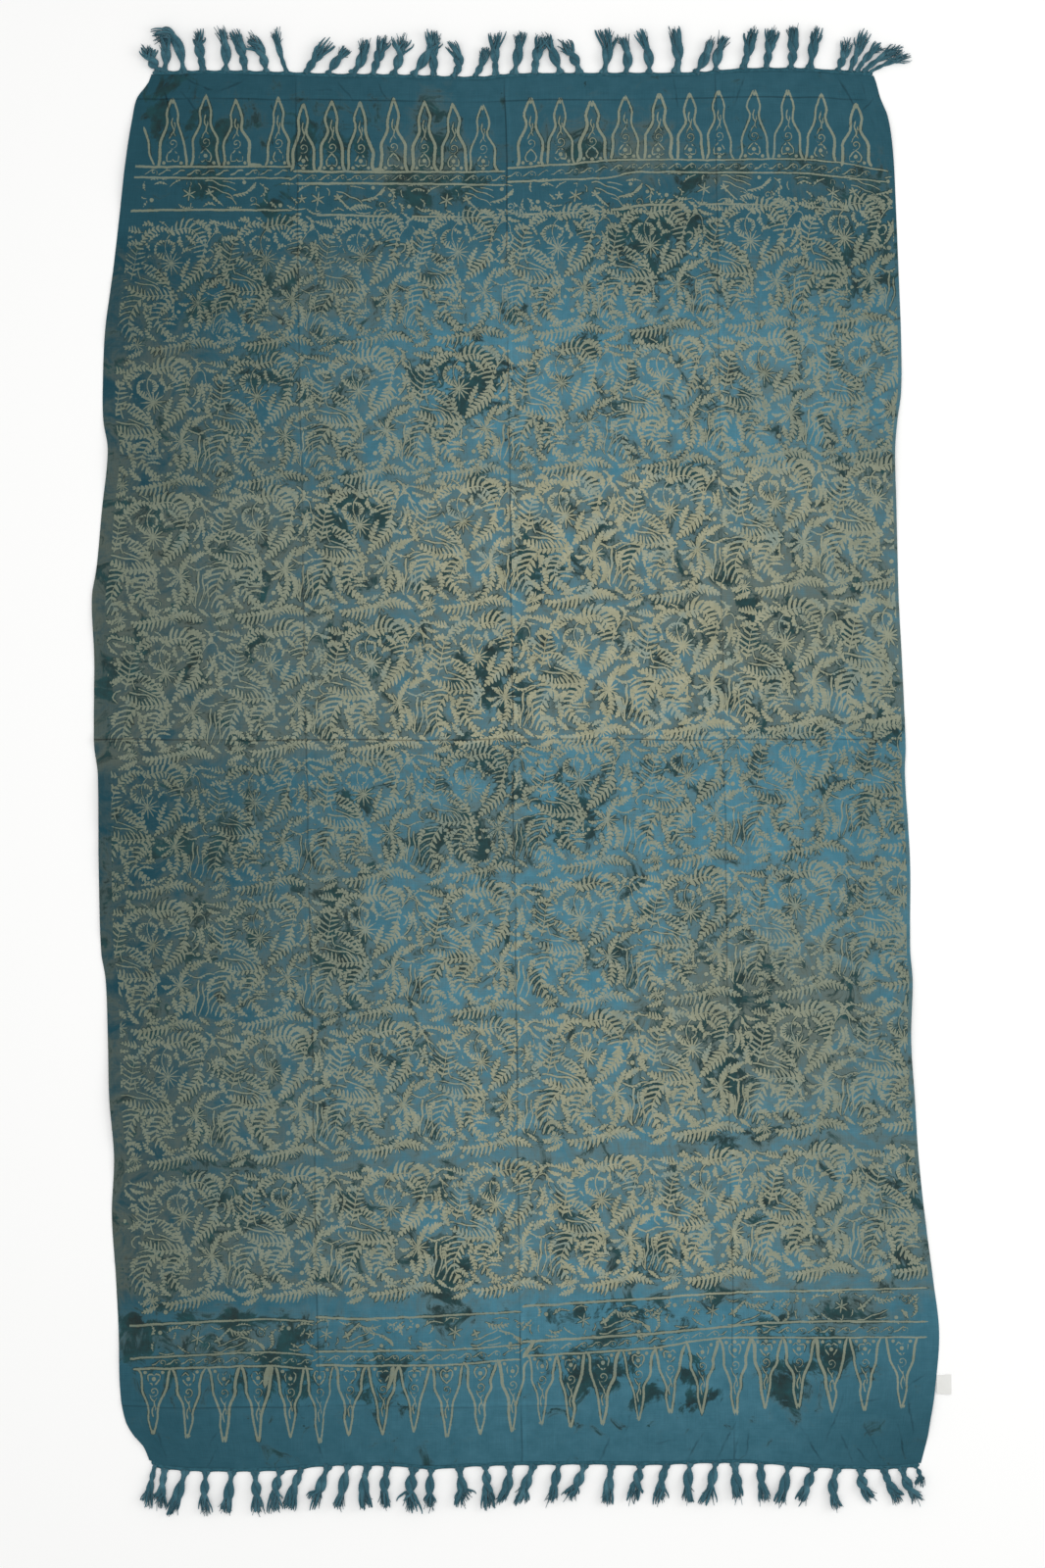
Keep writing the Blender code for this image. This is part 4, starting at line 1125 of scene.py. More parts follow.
# %% Fronds as strokes
def make_frond_group():
    inputs = [("Along, off and reach", "NodeSocketVector"), ("Half width", "NodeSocketFloat")]
    tree, given = open_group("frond strokes", inputs)
    parts = add(tree, "ShaderNodeSeparateXYZ", given[0])
    side = add(tree, MATH, parts.outputs[1], operation="SIGN")
    off = add(tree, MATH, parts.outputs[1], operation="ABSOLUTE")
    slant = add(tree, MATH, off, 0.1, SHADER_LEAN, operation="MULTIPLY_ADD")
    swept = add(tree, MATH, off, slant, operation="MULTIPLY")
    phase = add(tree, MATH, parts.outputs[0], swept, operation="SUBTRACT")
    leaflet = add(tree, MATH, phase, operation="ROUND")
    leaflet = add(tree, MATH, side, 0.37, leaflet, operation="MULTIPLY_ADD")
    own = add(tree, "ShaderNodeTexWhiteNoise", leaflet, noise_dimensions="1D")
    longer = add(tree, MATH, own, 0.4, 0.72, operation="MULTIPLY_ADD")
    reach = add(tree, MATH, parts.outputs[2], longer, operation="MULTIPLY")
    out_part = add(tree, MATH, off, reach, operation="DIVIDE")
    out_squared = add(tree, MATH, out_part, out_part, operation="MULTIPLY")
    out_fourth = add(tree, MATH, out_squared, out_squared, operation="MULTIPLY")
    club = add(tree, MATH, out_part, 0.5, 0.75, operation="MULTIPLY_ADD")
    thick = add(tree, MATH, given[1], club, operation="MULTIPLY")
    thick = add(tree, MATH, out_fourth, -0.3, thick, operation="MULTIPLY_ADD")
    solid = add(tree, REMAP, parts.outputs[2], 1.0, 2.4, 0.25, 0.0)
    inner = add(tree, MATH, 1.0, out_part, operation="SUBTRACT")
    thick = add(tree, MATH, inner, solid, thick, operation="MULTIPLY_ADD")
    beside = add(tree, MATH, phase, 0.5, operation="PINGPONG")
    leaflet = add(tree, MATH, beside, -0.85, thick, operation="MULTIPLY_ADD")
    slim = add(tree, MATH, 1.0, parts.outputs[2], operation="SUBTRACT")
    slim = add(tree, MATH, slim, 0.5, operation="MAXIMUM")
    stem = add(tree, MATH, given[1], slim, operation="MULTIPLY")
    stem = add(tree, MATH, stem, off, operation="SUBTRACT")
    height = add(tree, MATH, leaflet, stem, operation="MAXIMUM")
    least = add(tree, MATH, given[1], 2.2, operation="MULTIPLY")
    least = add(tree, MATH, least, parts.outputs[2], operation="MAXIMUM")
    claim = add(tree, MATH, off, least, operation="DIVIDE")
    past_end = add(tree, MATH, given[1], 0.0, operation="MINIMUM")
    claim = add(tree, MATH, 1.0, claim, operation="SUBTRACT")
    claim = add(tree, MATH, past_end, 4.0, claim, operation="MULTIPLY_ADD")
    add(tree, "NodeGroupOutput", height, claim)
    return tree


# %% Bursts as strokes
def make_burst_group():
    inputs = [("Place", "NodeSocketVector"), ("Half width", "NodeSocketFloat"), ("Rays", "NodeSocketVector")]
    tree, given = open_group("burst strokes", inputs)
    place = add(tree, "ShaderNodeSeparateXYZ", given[0])
    rays = add(tree, "ShaderNodeSeparateXYZ", given[2])
    flat = add(tree, VECTOR_MATH, given[0], (1, 1, 0), operation="MULTIPLY")
    radius = add(tree, VECTOR_MATH, flat, operation="LENGTH").outputs["Value"]
    radius = add(tree, MATH, radius, 0.05, operation="MAXIMUM")
    angle = add(tree, MATH, place.outputs[1], place.outputs[0], operation="ARCTAN2")
    turned = add(tree, MATH, angle, 1 / (2 * math.pi), operation="MULTIPLY")
    round_part = add(tree, MATH, turned, rays.outputs[0], operation="MULTIPLY")
    phase = add(tree, MATH, radius, rays.outputs[1], round_part, operation="MULTIPLY_ADD")
    beside = add(tree, MATH, phase, 0.5, operation="PINGPONG")
    round_step = add(tree, MATH, rays.outputs[0], radius, operation="DIVIDE")
    round_step = add(tree, MATH, round_step, 1 / (2 * math.pi), operation="MULTIPLY")
    steep = add(tree, "ShaderNodeCombineXYZ", round_step, rays.outputs[1], 0.0)
    steep = add(tree, VECTOR_MATH, steep, operation="LENGTH").outputs["Value"]
    steep = add(tree, MATH, steep, 0.0001, operation="MAXIMUM")
    distance = add(tree, MATH, beside, steep, operation="DIVIDE")
    out_part = add(tree, MATH, radius, place.outputs[2], operation="DIVIDE")
    out_squared = add(tree, MATH, out_part, out_part, operation="MULTIPLY")
    left_over = add(tree, MATH, 1.0, out_squared, operation="SUBTRACT")
    swell = add(tree, MATH, out_part, 0.9, 0.35, operation="MULTIPLY_ADD")
    thick = add(tree, MATH, left_over, swell, operation="MULTIPLY")
    thick = add(tree, MATH, thick, given[1], operation="MULTIPLY")
    height = add(tree, MATH, thick, distance, operation="SUBTRACT")
    to_rim = add(tree, MATH, place.outputs[2], radius, operation="SUBTRACT")
    height = add(tree, MATH, height, to_rim, operation="MINIMUM")
    pitches = add(tree, MATH, height, 1 / 5.5, operation="MULTIPLY")
    claim = add(tree, MATH, 1.08, out_part, operation="SUBTRACT")
    add(tree, "NodeGroupOutput", pitches, claim)
    return tree


frond_group = make_frond_group()
burst_group = make_burst_group()
print("groups:", frond_group.name, "and", burst_group.name)

# %% [markdown]
# ## Rayon, plain-woven and dyed
#
# Viscose rayon in a plain weave is matt, with a faint sheen at a low angle. Its threads are about a third of
# a millimetre apart, too fine to show from here, so the bump is drawn three times as coarse and the thicker
# threads as long faint streaks. The ground is teal with a cloudy mottle. The strokes are undyed khaki.

# %% The cloth's colours
GROUND = colour("#3f7384")
GROUND_PALE = colour("#4f8496")
# Painted shade: the ground where it is shaded towards the left and the ends
GROUND_SHADED = colour("#173f4a")
GREY_BROWN = colour("#616659")
NEAR_BLACK = colour("#1d2827")
DEEP_TEAL = colour("#1d474b")
WAX = colour("#93947a")
WAX_PALE = colour("#a9a88e")
WAX_BLUISH = colour("#7b9494")
# Faint wax, and wax in painted shade towards the left, take this colour
WAX_FAINT_AND_SHADED = colour("#575f4c")


def start_material(name, roughness, sheen):
    material = bpy.data.materials.new(name)
    material.use_nodes = True
    tree = material.node_tree
    shader = tree.nodes["Principled BSDF"]
    shader.inputs["Roughness"].default_value = roughness
    shader.inputs["Sheen Weight"].default_value = sheen
    shader.inputs["Sheen Roughness"].default_value = 0.5
    shader.inputs["Specular IOR Level"].default_value = 0.15
    return material, tree, shader


def link_looks(tree, shader, colours, height=None, strength=0.5, deep=0.3 * MM):
    """Links the colours to the shader, and a bump of the height where there is one."""
    tree.links.new(next(output for output in colours.outputs if output.enabled), shader.inputs["Base Color"])
    if height is not None:
        bump = add(tree, "ShaderNodeBump", named={"Strength": strength, "Distance": deep, "Height": height})
        tree.links.new(bump.outputs[0], shader.inputs["Normal"])


# %% The cloth's material
def make_batik_rayon():
    material, tree, shader = start_material("dyed_plain_weave_rayon", 0.88, 0.03)
    cut = add(tree, "ShaderNodeUVMap", uv_map="cut")
    dye_and_shade = add(tree, "ShaderNodeAttribute", attribute_name="dye_and_shade")
    dye_and_shade = add(tree, "ShaderNodeSeparateXYZ", dye_and_shade.outputs["Vector"])
    places = add(tree, "ShaderNodeAttribute", attribute_name="burst_places")
    rays = add(tree, "ShaderNodeAttribute", attribute_name="burst_rays")
    strokes = add(tree, "ShaderNodeGroup", node_tree=burst_group)
    tree.links.new(places.outputs["Vector"], strokes.inputs[0])
    tree.links.new(places.outputs["Alpha"], strokes.inputs[1])
    tree.links.new(rays.outputs["Vector"], strokes.inputs[2])
    height, claim = strokes.outputs
    for n in range(FROND_LAYERS):
        numbers = add(tree, "ShaderNodeAttribute", attribute_name=f"fronds_{n}")
        strokes = add(tree, "ShaderNodeGroup", node_tree=frond_group)
        tree.links.new(numbers.outputs["Vector"], strokes.inputs[0])
        tree.links.new(numbers.outputs["Alpha"], strokes.inputs[1])
        stronger = add(tree, MATH, strokes.outputs[1], claim, operation="GREATER_THAN")
        height = add(tree, MIX, stronger, height, strokes.outputs[0], data_type="FLOAT")
        claim = add(tree, MATH, strokes.outputs[1], claim, operation="MAXIMUM")

    ragged = add(tree, NOISE, cut, 330.0, 3.0, 0.6, normalize=True)
    clouds = add(tree, NOISE, cut, 14.0, 4.0, 0.6)
    uneven = add(tree, MATH, clouds, 0.35, ragged, operation="MULTIPLY_ADD")
    uneven = add(tree, REMAP, uneven, 0.3, 1.05, -0.16, 0.12)
    height = add(tree, MATH, height, uneven, operation="ADD")
    wax = add(tree, REMAP, height, -0.05, 0.06, 0.0, 1.0, interpolation_type="SMOOTHSTEP")

    strength = add(tree, "ShaderNodeAttribute", attribute_name="dye_and_shade").outputs["Alpha"]
    faint = add(tree, REMAP, clouds, 0.36, 0.5, 0.7, 1.0)
    faint = add(tree, MATH, faint, strength, operation="MULTIPLY")
    faint = add(tree, REMAP, faint, 0.3, 0.9, 0.72, 0.98)
    wax = add(tree, MATH, wax, faint, operation="MULTIPLY")

    mottle = add(tree, NOISE, cut, 45.0, 4.0, 0.65)
    mottle = add(tree, REMAP, mottle, 0.3, 0.7, 0.0, 1.0)
    ground = add(tree, MIX, mottle, GROUND, GROUND_PALE, data_type="RGBA")
    # Painted shade darkens the ground towards the left and the ends
    ground = add(tree, MIX, dye_and_shade.outputs[2], ground, GROUND_SHADED, data_type="RGBA")
    run = add(tree, NOISE, cut, 26.0, 7.0, 0.68, named={"Distortion": 0.9})
    run = add(tree, REMAP, run, 0.25, 0.75, -0.5, 0.5)
    brown = add(tree, MATH, run, 0.8, dye_and_shade.outputs[1], operation="MULTIPLY_ADD")
    brown = add(tree, REMAP, brown, 0.1, 0.8, 0.0, 0.85, interpolation_type="SMOOTHSTEP")
    ground = add(tree, MIX, brown, ground, GREY_BROWN, data_type="RGBA")
    beside = add(tree, REMAP, height, -0.3, -0.05, 0.0, 0.55)
    # The first dye number holds the dark dabs and also the thin line of painted shade along each hem
    dark = add(tree, MATH, run, 2.4, dye_and_shade.outputs[0], operation="MULTIPLY_ADD")
    dark = add(tree, MATH, dark, beside, operation="ADD")
    fleck = add(tree, NOISE, cut, 95.0, 2.0, 0.5)
    fleck = add(tree, REMAP, fleck, 0.7, 0.76, 0.0, 0.6)
    dark = add(tree, MATH, dark, fleck, operation="ADD")
    dark = add(tree, REMAP, dark, 0.5, 0.98, 0.0, 0.93, interpolation_type="SMOOTHSTEP")
    teal_or_black = add(tree, MIX, mottle, NEAR_BLACK, DEEP_TEAL, data_type="RGBA")
    ground = add(tree, MIX, dark, ground, teal_or_black, data_type="RGBA")

    stroke = add(tree, MIX, mottle, WAX, WAX_PALE, data_type="RGBA")
    bluish = add(tree, NOISE, cut, 34.0, 3.0, 0.6, named={"Distortion": 0.6})
    bluish = add(tree, REMAP, bluish, 0.5, 0.66, 0.0, 0.6)
    weak = add(tree, REMAP, strength, 0.7, 0.95, 0.3, 0.0)
    bluish = add(tree, MATH, bluish, weak, operation="MAXIMUM")
    stroke = add(tree, MIX, bluish, stroke, WAX_BLUISH, data_type="RGBA")
    # Faint wax, and wax in painted shade towards the left, is darker
    stroke = add(tree, MIX, strength, WAX_FAINT_AND_SHADED, stroke, data_type="RGBA")
    colours = add(tree, MIX, wax, ground, stroke, data_type="RGBA")

    stretch = add(tree, "ShaderNodeMapping", cut, named={"Scale": (1400.0, 30.0, 1.0)})
    warp = add(tree, NOISE, stretch, 1.0, 1.0)
    stretch = add(tree, "ShaderNodeMapping", cut, named={"Scale": (30.0, 1400.0, 1.0)})
    weft = add(tree, NOISE, stretch, 1.0, 1.0)
    threads = add(tree, MATH, warp, weft, operation="ADD")
    shade = add(tree, REMAP, threads, 0.6, 1.4, 0.86, 1.12)
    colours = add(tree, VECTOR_MATH, colours, shade, operation="MULTIPLY")
    colours = add_fold_lines(tree, cut, colours)
    link_looks(tree, shader, colours, threads)
    return material


# %% The thin lines of painted shade along its folds and creases
def add_fold_lines(tree, cut, colours):
    """Paints shade in a thin line at each fold and crease, and a painted highlight on the slope beside a
    fold.
    """
    stray = add(tree, NOISE, cut, 7.0, 2.0, 0.5)
    stray = add(tree, REMAP, stray, 0.0, 1.0, -4 * MM, 4 * MM)
    patchy_shade = add(tree, NOISE, cut, 9.0, 3.0, 0.6, named={"Distortion": 0.3})
    patchy_shade = add(tree, REMAP, patchy_shade, 0.36, 0.54, 0.15, 1.0)
    place = add(tree, "ShaderNodeSeparateXYZ", cut)
    for fold in FOLDS:
        way, along = place.outputs[:2] if fold.runs == "along" else (place.outputs[1], place.outputs[0])
        off = add(tree, MATH, way, fold.place * MM, operation="SUBTRACT")
        off = add(tree, MATH, along, -fold.lean, off, operation="MULTIPLY_ADD")
        off = add(tree, MATH, off, stray, operation="ADD")
        # A thin line of painted shade along the fold, patchy along its length
        line = add(tree, MATH, off, operation="ABSOLUTE")
        line = add(tree, REMAP, line, 0.5 * MM, 1.5 * MM, 1.0, 0.0)
        line = add(tree, MATH, line, patchy_shade, operation="MULTIPLY")
        dim = add(tree, MATH, line, -0.2 * fold.height, 1.0, operation="MULTIPLY_ADD")
        # A painted highlight on the slope beside the fold
        slope = add(tree, MATH, off, 4 * MM, operation="SUBTRACT")
        slope = add(tree, MATH, slope, operation="ABSOLUTE")
        slope = add(tree, REMAP, slope, 0.0, 3.5 * MM, 0.04 * fold.height, 0.0)
        dim = add(tree, MATH, dim, slope, operation="ADD")
        inside = add(tree, REMAP, along, fold.end * MM, (fold.end + 20) * MM, 1.0, 0.0)
        dim = add(tree, MIX, inside, 1.0, dim, data_type="FLOAT")
        colours = add(tree, VECTOR_MATH, colours, dim, operation="MULTIPLY")
    # A thin line of painted shade along each crease
    creases = add(tree, "ShaderNodeAttribute", attribute_name="creases").outputs["Vector"]
    creases = add(tree, "ShaderNodeSeparateXYZ", creases)
    wander = add(tree, NOISE, cut, 42.0, 3.0, 0.6)
    wander = add(tree, MATH, wander, 9.0, -4.5, operation="MULTIPLY_ADD")
    wander = add(tree, MATH, wander, creases.outputs[1], operation="ADD")
    line = add(tree, MATH, wander, operation="ABSOLUTE")
    line = add(tree, REMAP, line, 0.3, 1.9, 0.26, 0.0)
    broken = add(tree, NOISE, cut, 60.0, 2.0)
    broken = add(tree, REMAP, broken, 0.38, 0.56, 0.25, 1.0)
    line = add(tree, MATH, line, broken, operation="MULTIPLY")
    line = add(tree, MATH, line, creases.outputs[2], operation="MULTIPLY")
    dim = add(tree, MATH, 1.0, line, operation="SUBTRACT")
    return add(tree, VECTOR_MATH, colours, dim, operation="MULTIPLY")


batik_rayon = make_batik_rayon()
panel.data.materials.append(batik_rayon)
print("material:", batik_rayon.name, len(batik_rayon.node_tree.nodes), "nodes")

# %% [markdown]
# ## The rolled hems
#
# Each end is turned over twice into a hem about 4 mm wide, and the pull of the tassels gives it small
# scallops. It is a tube that follows the edge of the panel, a little flattened where it lies on the floor.

# %% Where the hems and tassels are
HEM_WIDE = 4.4
HEM_THICK = 2.4
HEM_OVER_PANEL = 0.7
HEM_OFF_FLOOR = 0.3
HEM_SIDES = 10
HEM_STEP = 2.5
SCALLOP = 0.9
SCALLOP_HALF = 7

Tassel = namedtuple("Tassel", "root bend_across bend_out tip_across tip_out girth", defaults=(1.0,))
TOP_TASSELS = [
    Tassel(-467, -8, 14, -13, 29, 1.1),
    Tassel(-459, 3, 20, -3, 40, 0.95),
    Tassel(-434, -11, 40, -36, 43),
    Tassel(-408, -4, 24, -9, 50),
    Tassel(-379, 1, 24, -5, 51),
    Tassel(-353, -5, 26, -13, 49),
    Tassel(-326, -6, 24, -19, 44),
    Tassel(-299, -9, 27, -13, 52, 0.6),
    Tassel(-273, 12, 18, 24, 35),
    Tassel(-244, 11, 16, 24, 30, 0.9),
    Tassel(-213, 12, 18, 15, 40),
    Tassel(-186, 7, 21, 16, 44),
    Tassel(-159, 8, 23, 12, 47),
    Tassel(-133, 14, 20, 30, 48),
    Tassel(-107, 0, 24, 0, 51),
    Tassel(-81, 7, 18, -3, 38),
    Tassel(-53, 9, 16, 13, 34, 0.8),
    Tassel(-26, -1, 24, -1, 49, 0.9),
    Tassel(-2, 5, 23, 8, 50),
    Tassel(25, 3, 23, 10, 44),
    Tassel(58, -8, 22, -17, 47),
    Tassel(83, -8, 20, -22, 37),
    Tassel(115, 5, 25, 5, 48),
    Tassel(144, 2, 22, -4, 44),
    Tassel(174, -1, 23, -10, 48),
    Tassel(209, 3, 24, -4, 55, 1.1),
    Tassel(236, 12, 20, 16, 40),
    Tassel(261, 3, 20, 12, 43),
    Tassel(297, 7, 23, 13, 47),
    Tassel(327, 4, 23, 9, 48),
    Tassel(359, 3, 24, 1, 50, 1.1),
    Tassel(384, 4, 23, 8, 49),
    Tassel(421, 7, 17, 13, 35, 0.9),
    Tassel(437, 8, 21, 20, 43, 0.8),
    Tassel(446, 12, 17, 31, 33, 0.7),
    Tassel(455, 18, 15, 45, 29, 0.7),
    Tassel(463, 22, 11, 49, 21, 0.5),
]
BOTTOM_TASSELS = [
    Tassel(-471, -5, 24, -10, 51, 0.7),
    Tassel(-458, -3, 22, -6, 48, 0.9),
    Tassel(-431, -8, 25, -19, 51),
    Tassel(-404, -2, 26, -3, 52, 0.9),
    Tassel(-370, -4, 25, -8, 52),
    Tassel(-340, 2, 25, 5, 52),
    Tassel(-307, -6, 24, -7, 48),
    Tassel(-280, -9, 23, -17, 48),
    Tassel(-245, -9, 24, -16, 50),
    Tassel(-219, -6, 25, -11, 54),
    Tassel(-193, -5, 25, -2, 51),
    Tassel(-167, -4, 25, -4, 50),
    Tassel(-133, -4, 24, -6, 49, 1.2),
    Tassel(-110, -2, 24, -2, 49, 0.9),
    Tassel(-73, 3, 22, 7, 44),
    Tassel(-39, 2, 25, 4, 51),
    Tassel(-8, -2, 22, -12, 45),
    Tassel(23, -8, 20, -19, 44),
    Tassel(56, -5, 24, -10, 48),
    Tassel(90, -8, 20, -20, 43),
    Tassel(125, -3, 22, -7, 49),
    Tassel(163, -4, 18, -11, 45, 1.1),
    Tassel(197, -7, 23, -8, 48),
    Tassel(228, -3, 21, -2, 45),
    Tassel(261, -5, 22, -11, 48),
    Tassel(286, 2, 22, 3, 46, 1.1),
    Tassel(320, 1, 23, 5, 46),
    Tassel(356, -5, 23, -11, 47),
    Tassel(389, -8, 20, -16, 42),
    Tassel(420, -6, 23, 0, 48),
    Tassel(451, 2, 19, 13, 39, 1.1),
    Tassel(481, 8, 20, 21, 41),
    Tassel(505, 7, 21, 22, 41),
    Tassel(523, 5, 10, 6, 19, 0.5),
]

print("tassels:", len(TOP_TASSELS), "at the top and", len(BOTTOM_TASSELS), "at the bottom")


# %% Roll the hems
def panel_edge(end):
    """The panel's edge at one end, as rows of x and y, left to right. End is 1 at the top and -1 below."""
    row = -1 if end == 1 else 0
    return np.stack([laid_x[row], laid_y[row]], axis=-1)


def hem_middle(end, x, roots):
    """The middle of the hem at x, and how far a scallop comes out there to the root of a tassel."""
    edge = panel_edge(end)
    nearest = np.min(np.abs(x[:, None] - roots), axis=1)
    scallop = SCALLOP * np.exp(-((nearest / SCALLOP_HALF) ** 2))
    return np.interp(x, edge[:, 0], edge[:, 1]) + end * (HEM_WIDE / 2 - HEM_OVER_PANEL + scallop), scallop


def make_hem(name, end, tassels, from_x, to_x):
    roots = np.array([tassel.root for tassel in tassels])
    x = np.arange(from_x, to_x, HEM_STEP)
    y, scallop = hem_middle(end, x, roots)
    wobble = np.array([noise.noise((a / 9, 5.0, end)) for a in x])
    round_end = np.sqrt(np.clip(np.minimum(x - from_x, x[-1] - x) / 3 + 0.15, 0, 1))
    wide = (HEM_WIDE / 2 + scallop + 0.25 * wobble) * round_end
    thick = (HEM_THICK / 2 + 0.2 * wobble) * round_end
    points = []
    for n in range(HEM_SIDES):
        angle = 2 * math.pi * n / HEM_SIDES
        up = HEM_OFF_FLOOR + HEM_THICK / 2 + thick * math.sin(angle)
        points.append(np.stack([x, y + wide * math.cos(angle), up], axis=-1))
    rings = np.stack(points, axis=1)
    rings += (shift_x, shift_y, 0)
    numbers = np.arange(rings.shape[0] * HEM_SIDES).reshape(-1, HEM_SIDES)
    quads = [numbers[0].tolist(), numbers[-1].tolist()[::-1]]
    for ring, after in zip(numbers, numbers[1:]):
        for n in range(HEM_SIDES):
            m = (n + 1) % HEM_SIDES
            quads.append([int(ring[n]), int(after[n]), int(after[m]), int(ring[m])])
    mesh = bpy.data.meshes.new(name)
    mesh.from_pydata((rings.reshape(-1, 3) * MM).tolist(), [], quads)
    tidy_normals(mesh)
    return put_in_scene(name, mesh)


def tidy_normals(mesh):
    """Turns all the faces outwards and shades them smooth."""
    bm = bmesh.new()
    bm.from_mesh(mesh)
    bmesh.ops.recalc_face_normals(bm, faces=bm.faces)
    bm.to_mesh(mesh)
    bm.free()
    mesh.shade_smooth()


hem_top = make_hem("hem_top", 1, TOP_TASSELS, -474, 468)
hem_bottom = make_hem("hem_bottom", -1, BOTTOM_TASSELS, -475.5, 528)
print("hems:", len(hem_top.data.polygons), "and", len(hem_bottom.data.polygons), "faces")

# %% [markdown]
# ## The tassels
#
# A tassel is two plies wound round each other, and each ply is a bundle of yarns with a twist of its own. Its
# end isn't bound, so the yarns splay there and the finest threads stick out. Every tassel follows the same
# rule along its own line, which makes this a task for Geometry Nodes: the input is one curve for each
# tassel, and the tree copies it once for each yarn and winds the copies.

# %% The lines that the tassels follow
TASSEL_POINTS = 14
TASSEL_AXIS_HEIGHT = 4.4
FLATTENED = 0.75
YARN_OFF_FLOOR = 0.2 * MM
LOOSE_THREADS = 20
THREAD_SPREAD = 6.0 * MM
TIP_SPREAD = 4.6 * MM


def bow(middle, tip, t):
    """A curve that starts at nought, is at middle halfway along and ends at tip."""
    return (4 * middle - tip) * t + 2 * (tip - 2 * middle) * t**2


def tassel_line(tassel, end, hem_y):
    """Points along the middle of a tassel, in millimetres in the frame, from inside the hem to its tip."""
    t = np.linspace(-0.04, 0.97, TASSEL_POINTS)
    across, out = bow(tassel.bend_across, tassel.tip_across, t), bow(tassel.bend_out, tassel.tip_out, t)
    rise = np.interp(t, [0, 0.2, 0.75, 1], [1.5, TASSEL_AXIS_HEIGHT, TASSEL_AXIS_HEIGHT, 2.6])
    rise = rise * min(1, tassel.girth + 0.1)
    return np.stack([tassel.root + across + shift_x, hem_y + end * out + shift_y, rise], axis=-1)


def make_tassel_lines(name, end, tassels):
    curve = bpy.data.curves.new(name, "CURVE")
    curve.dimensions = "3D"
    roots = np.array([tassel.root for tassel in tassels], float)
    hem_y = hem_middle(end, roots, roots)[0] + end * HEM_WIDE / 2
    for tassel, y in zip(tassels, hem_y):
        spline = curve.splines.new("POLY")
        spline.points.add(TASSEL_POINTS - 1)
        for point, place in zip(spline.points, tassel_line(tassel, end, y) * MM):
            point.co = (*place, 1)
            point.radius = tassel.girth
    return put_in_scene(name, curve)


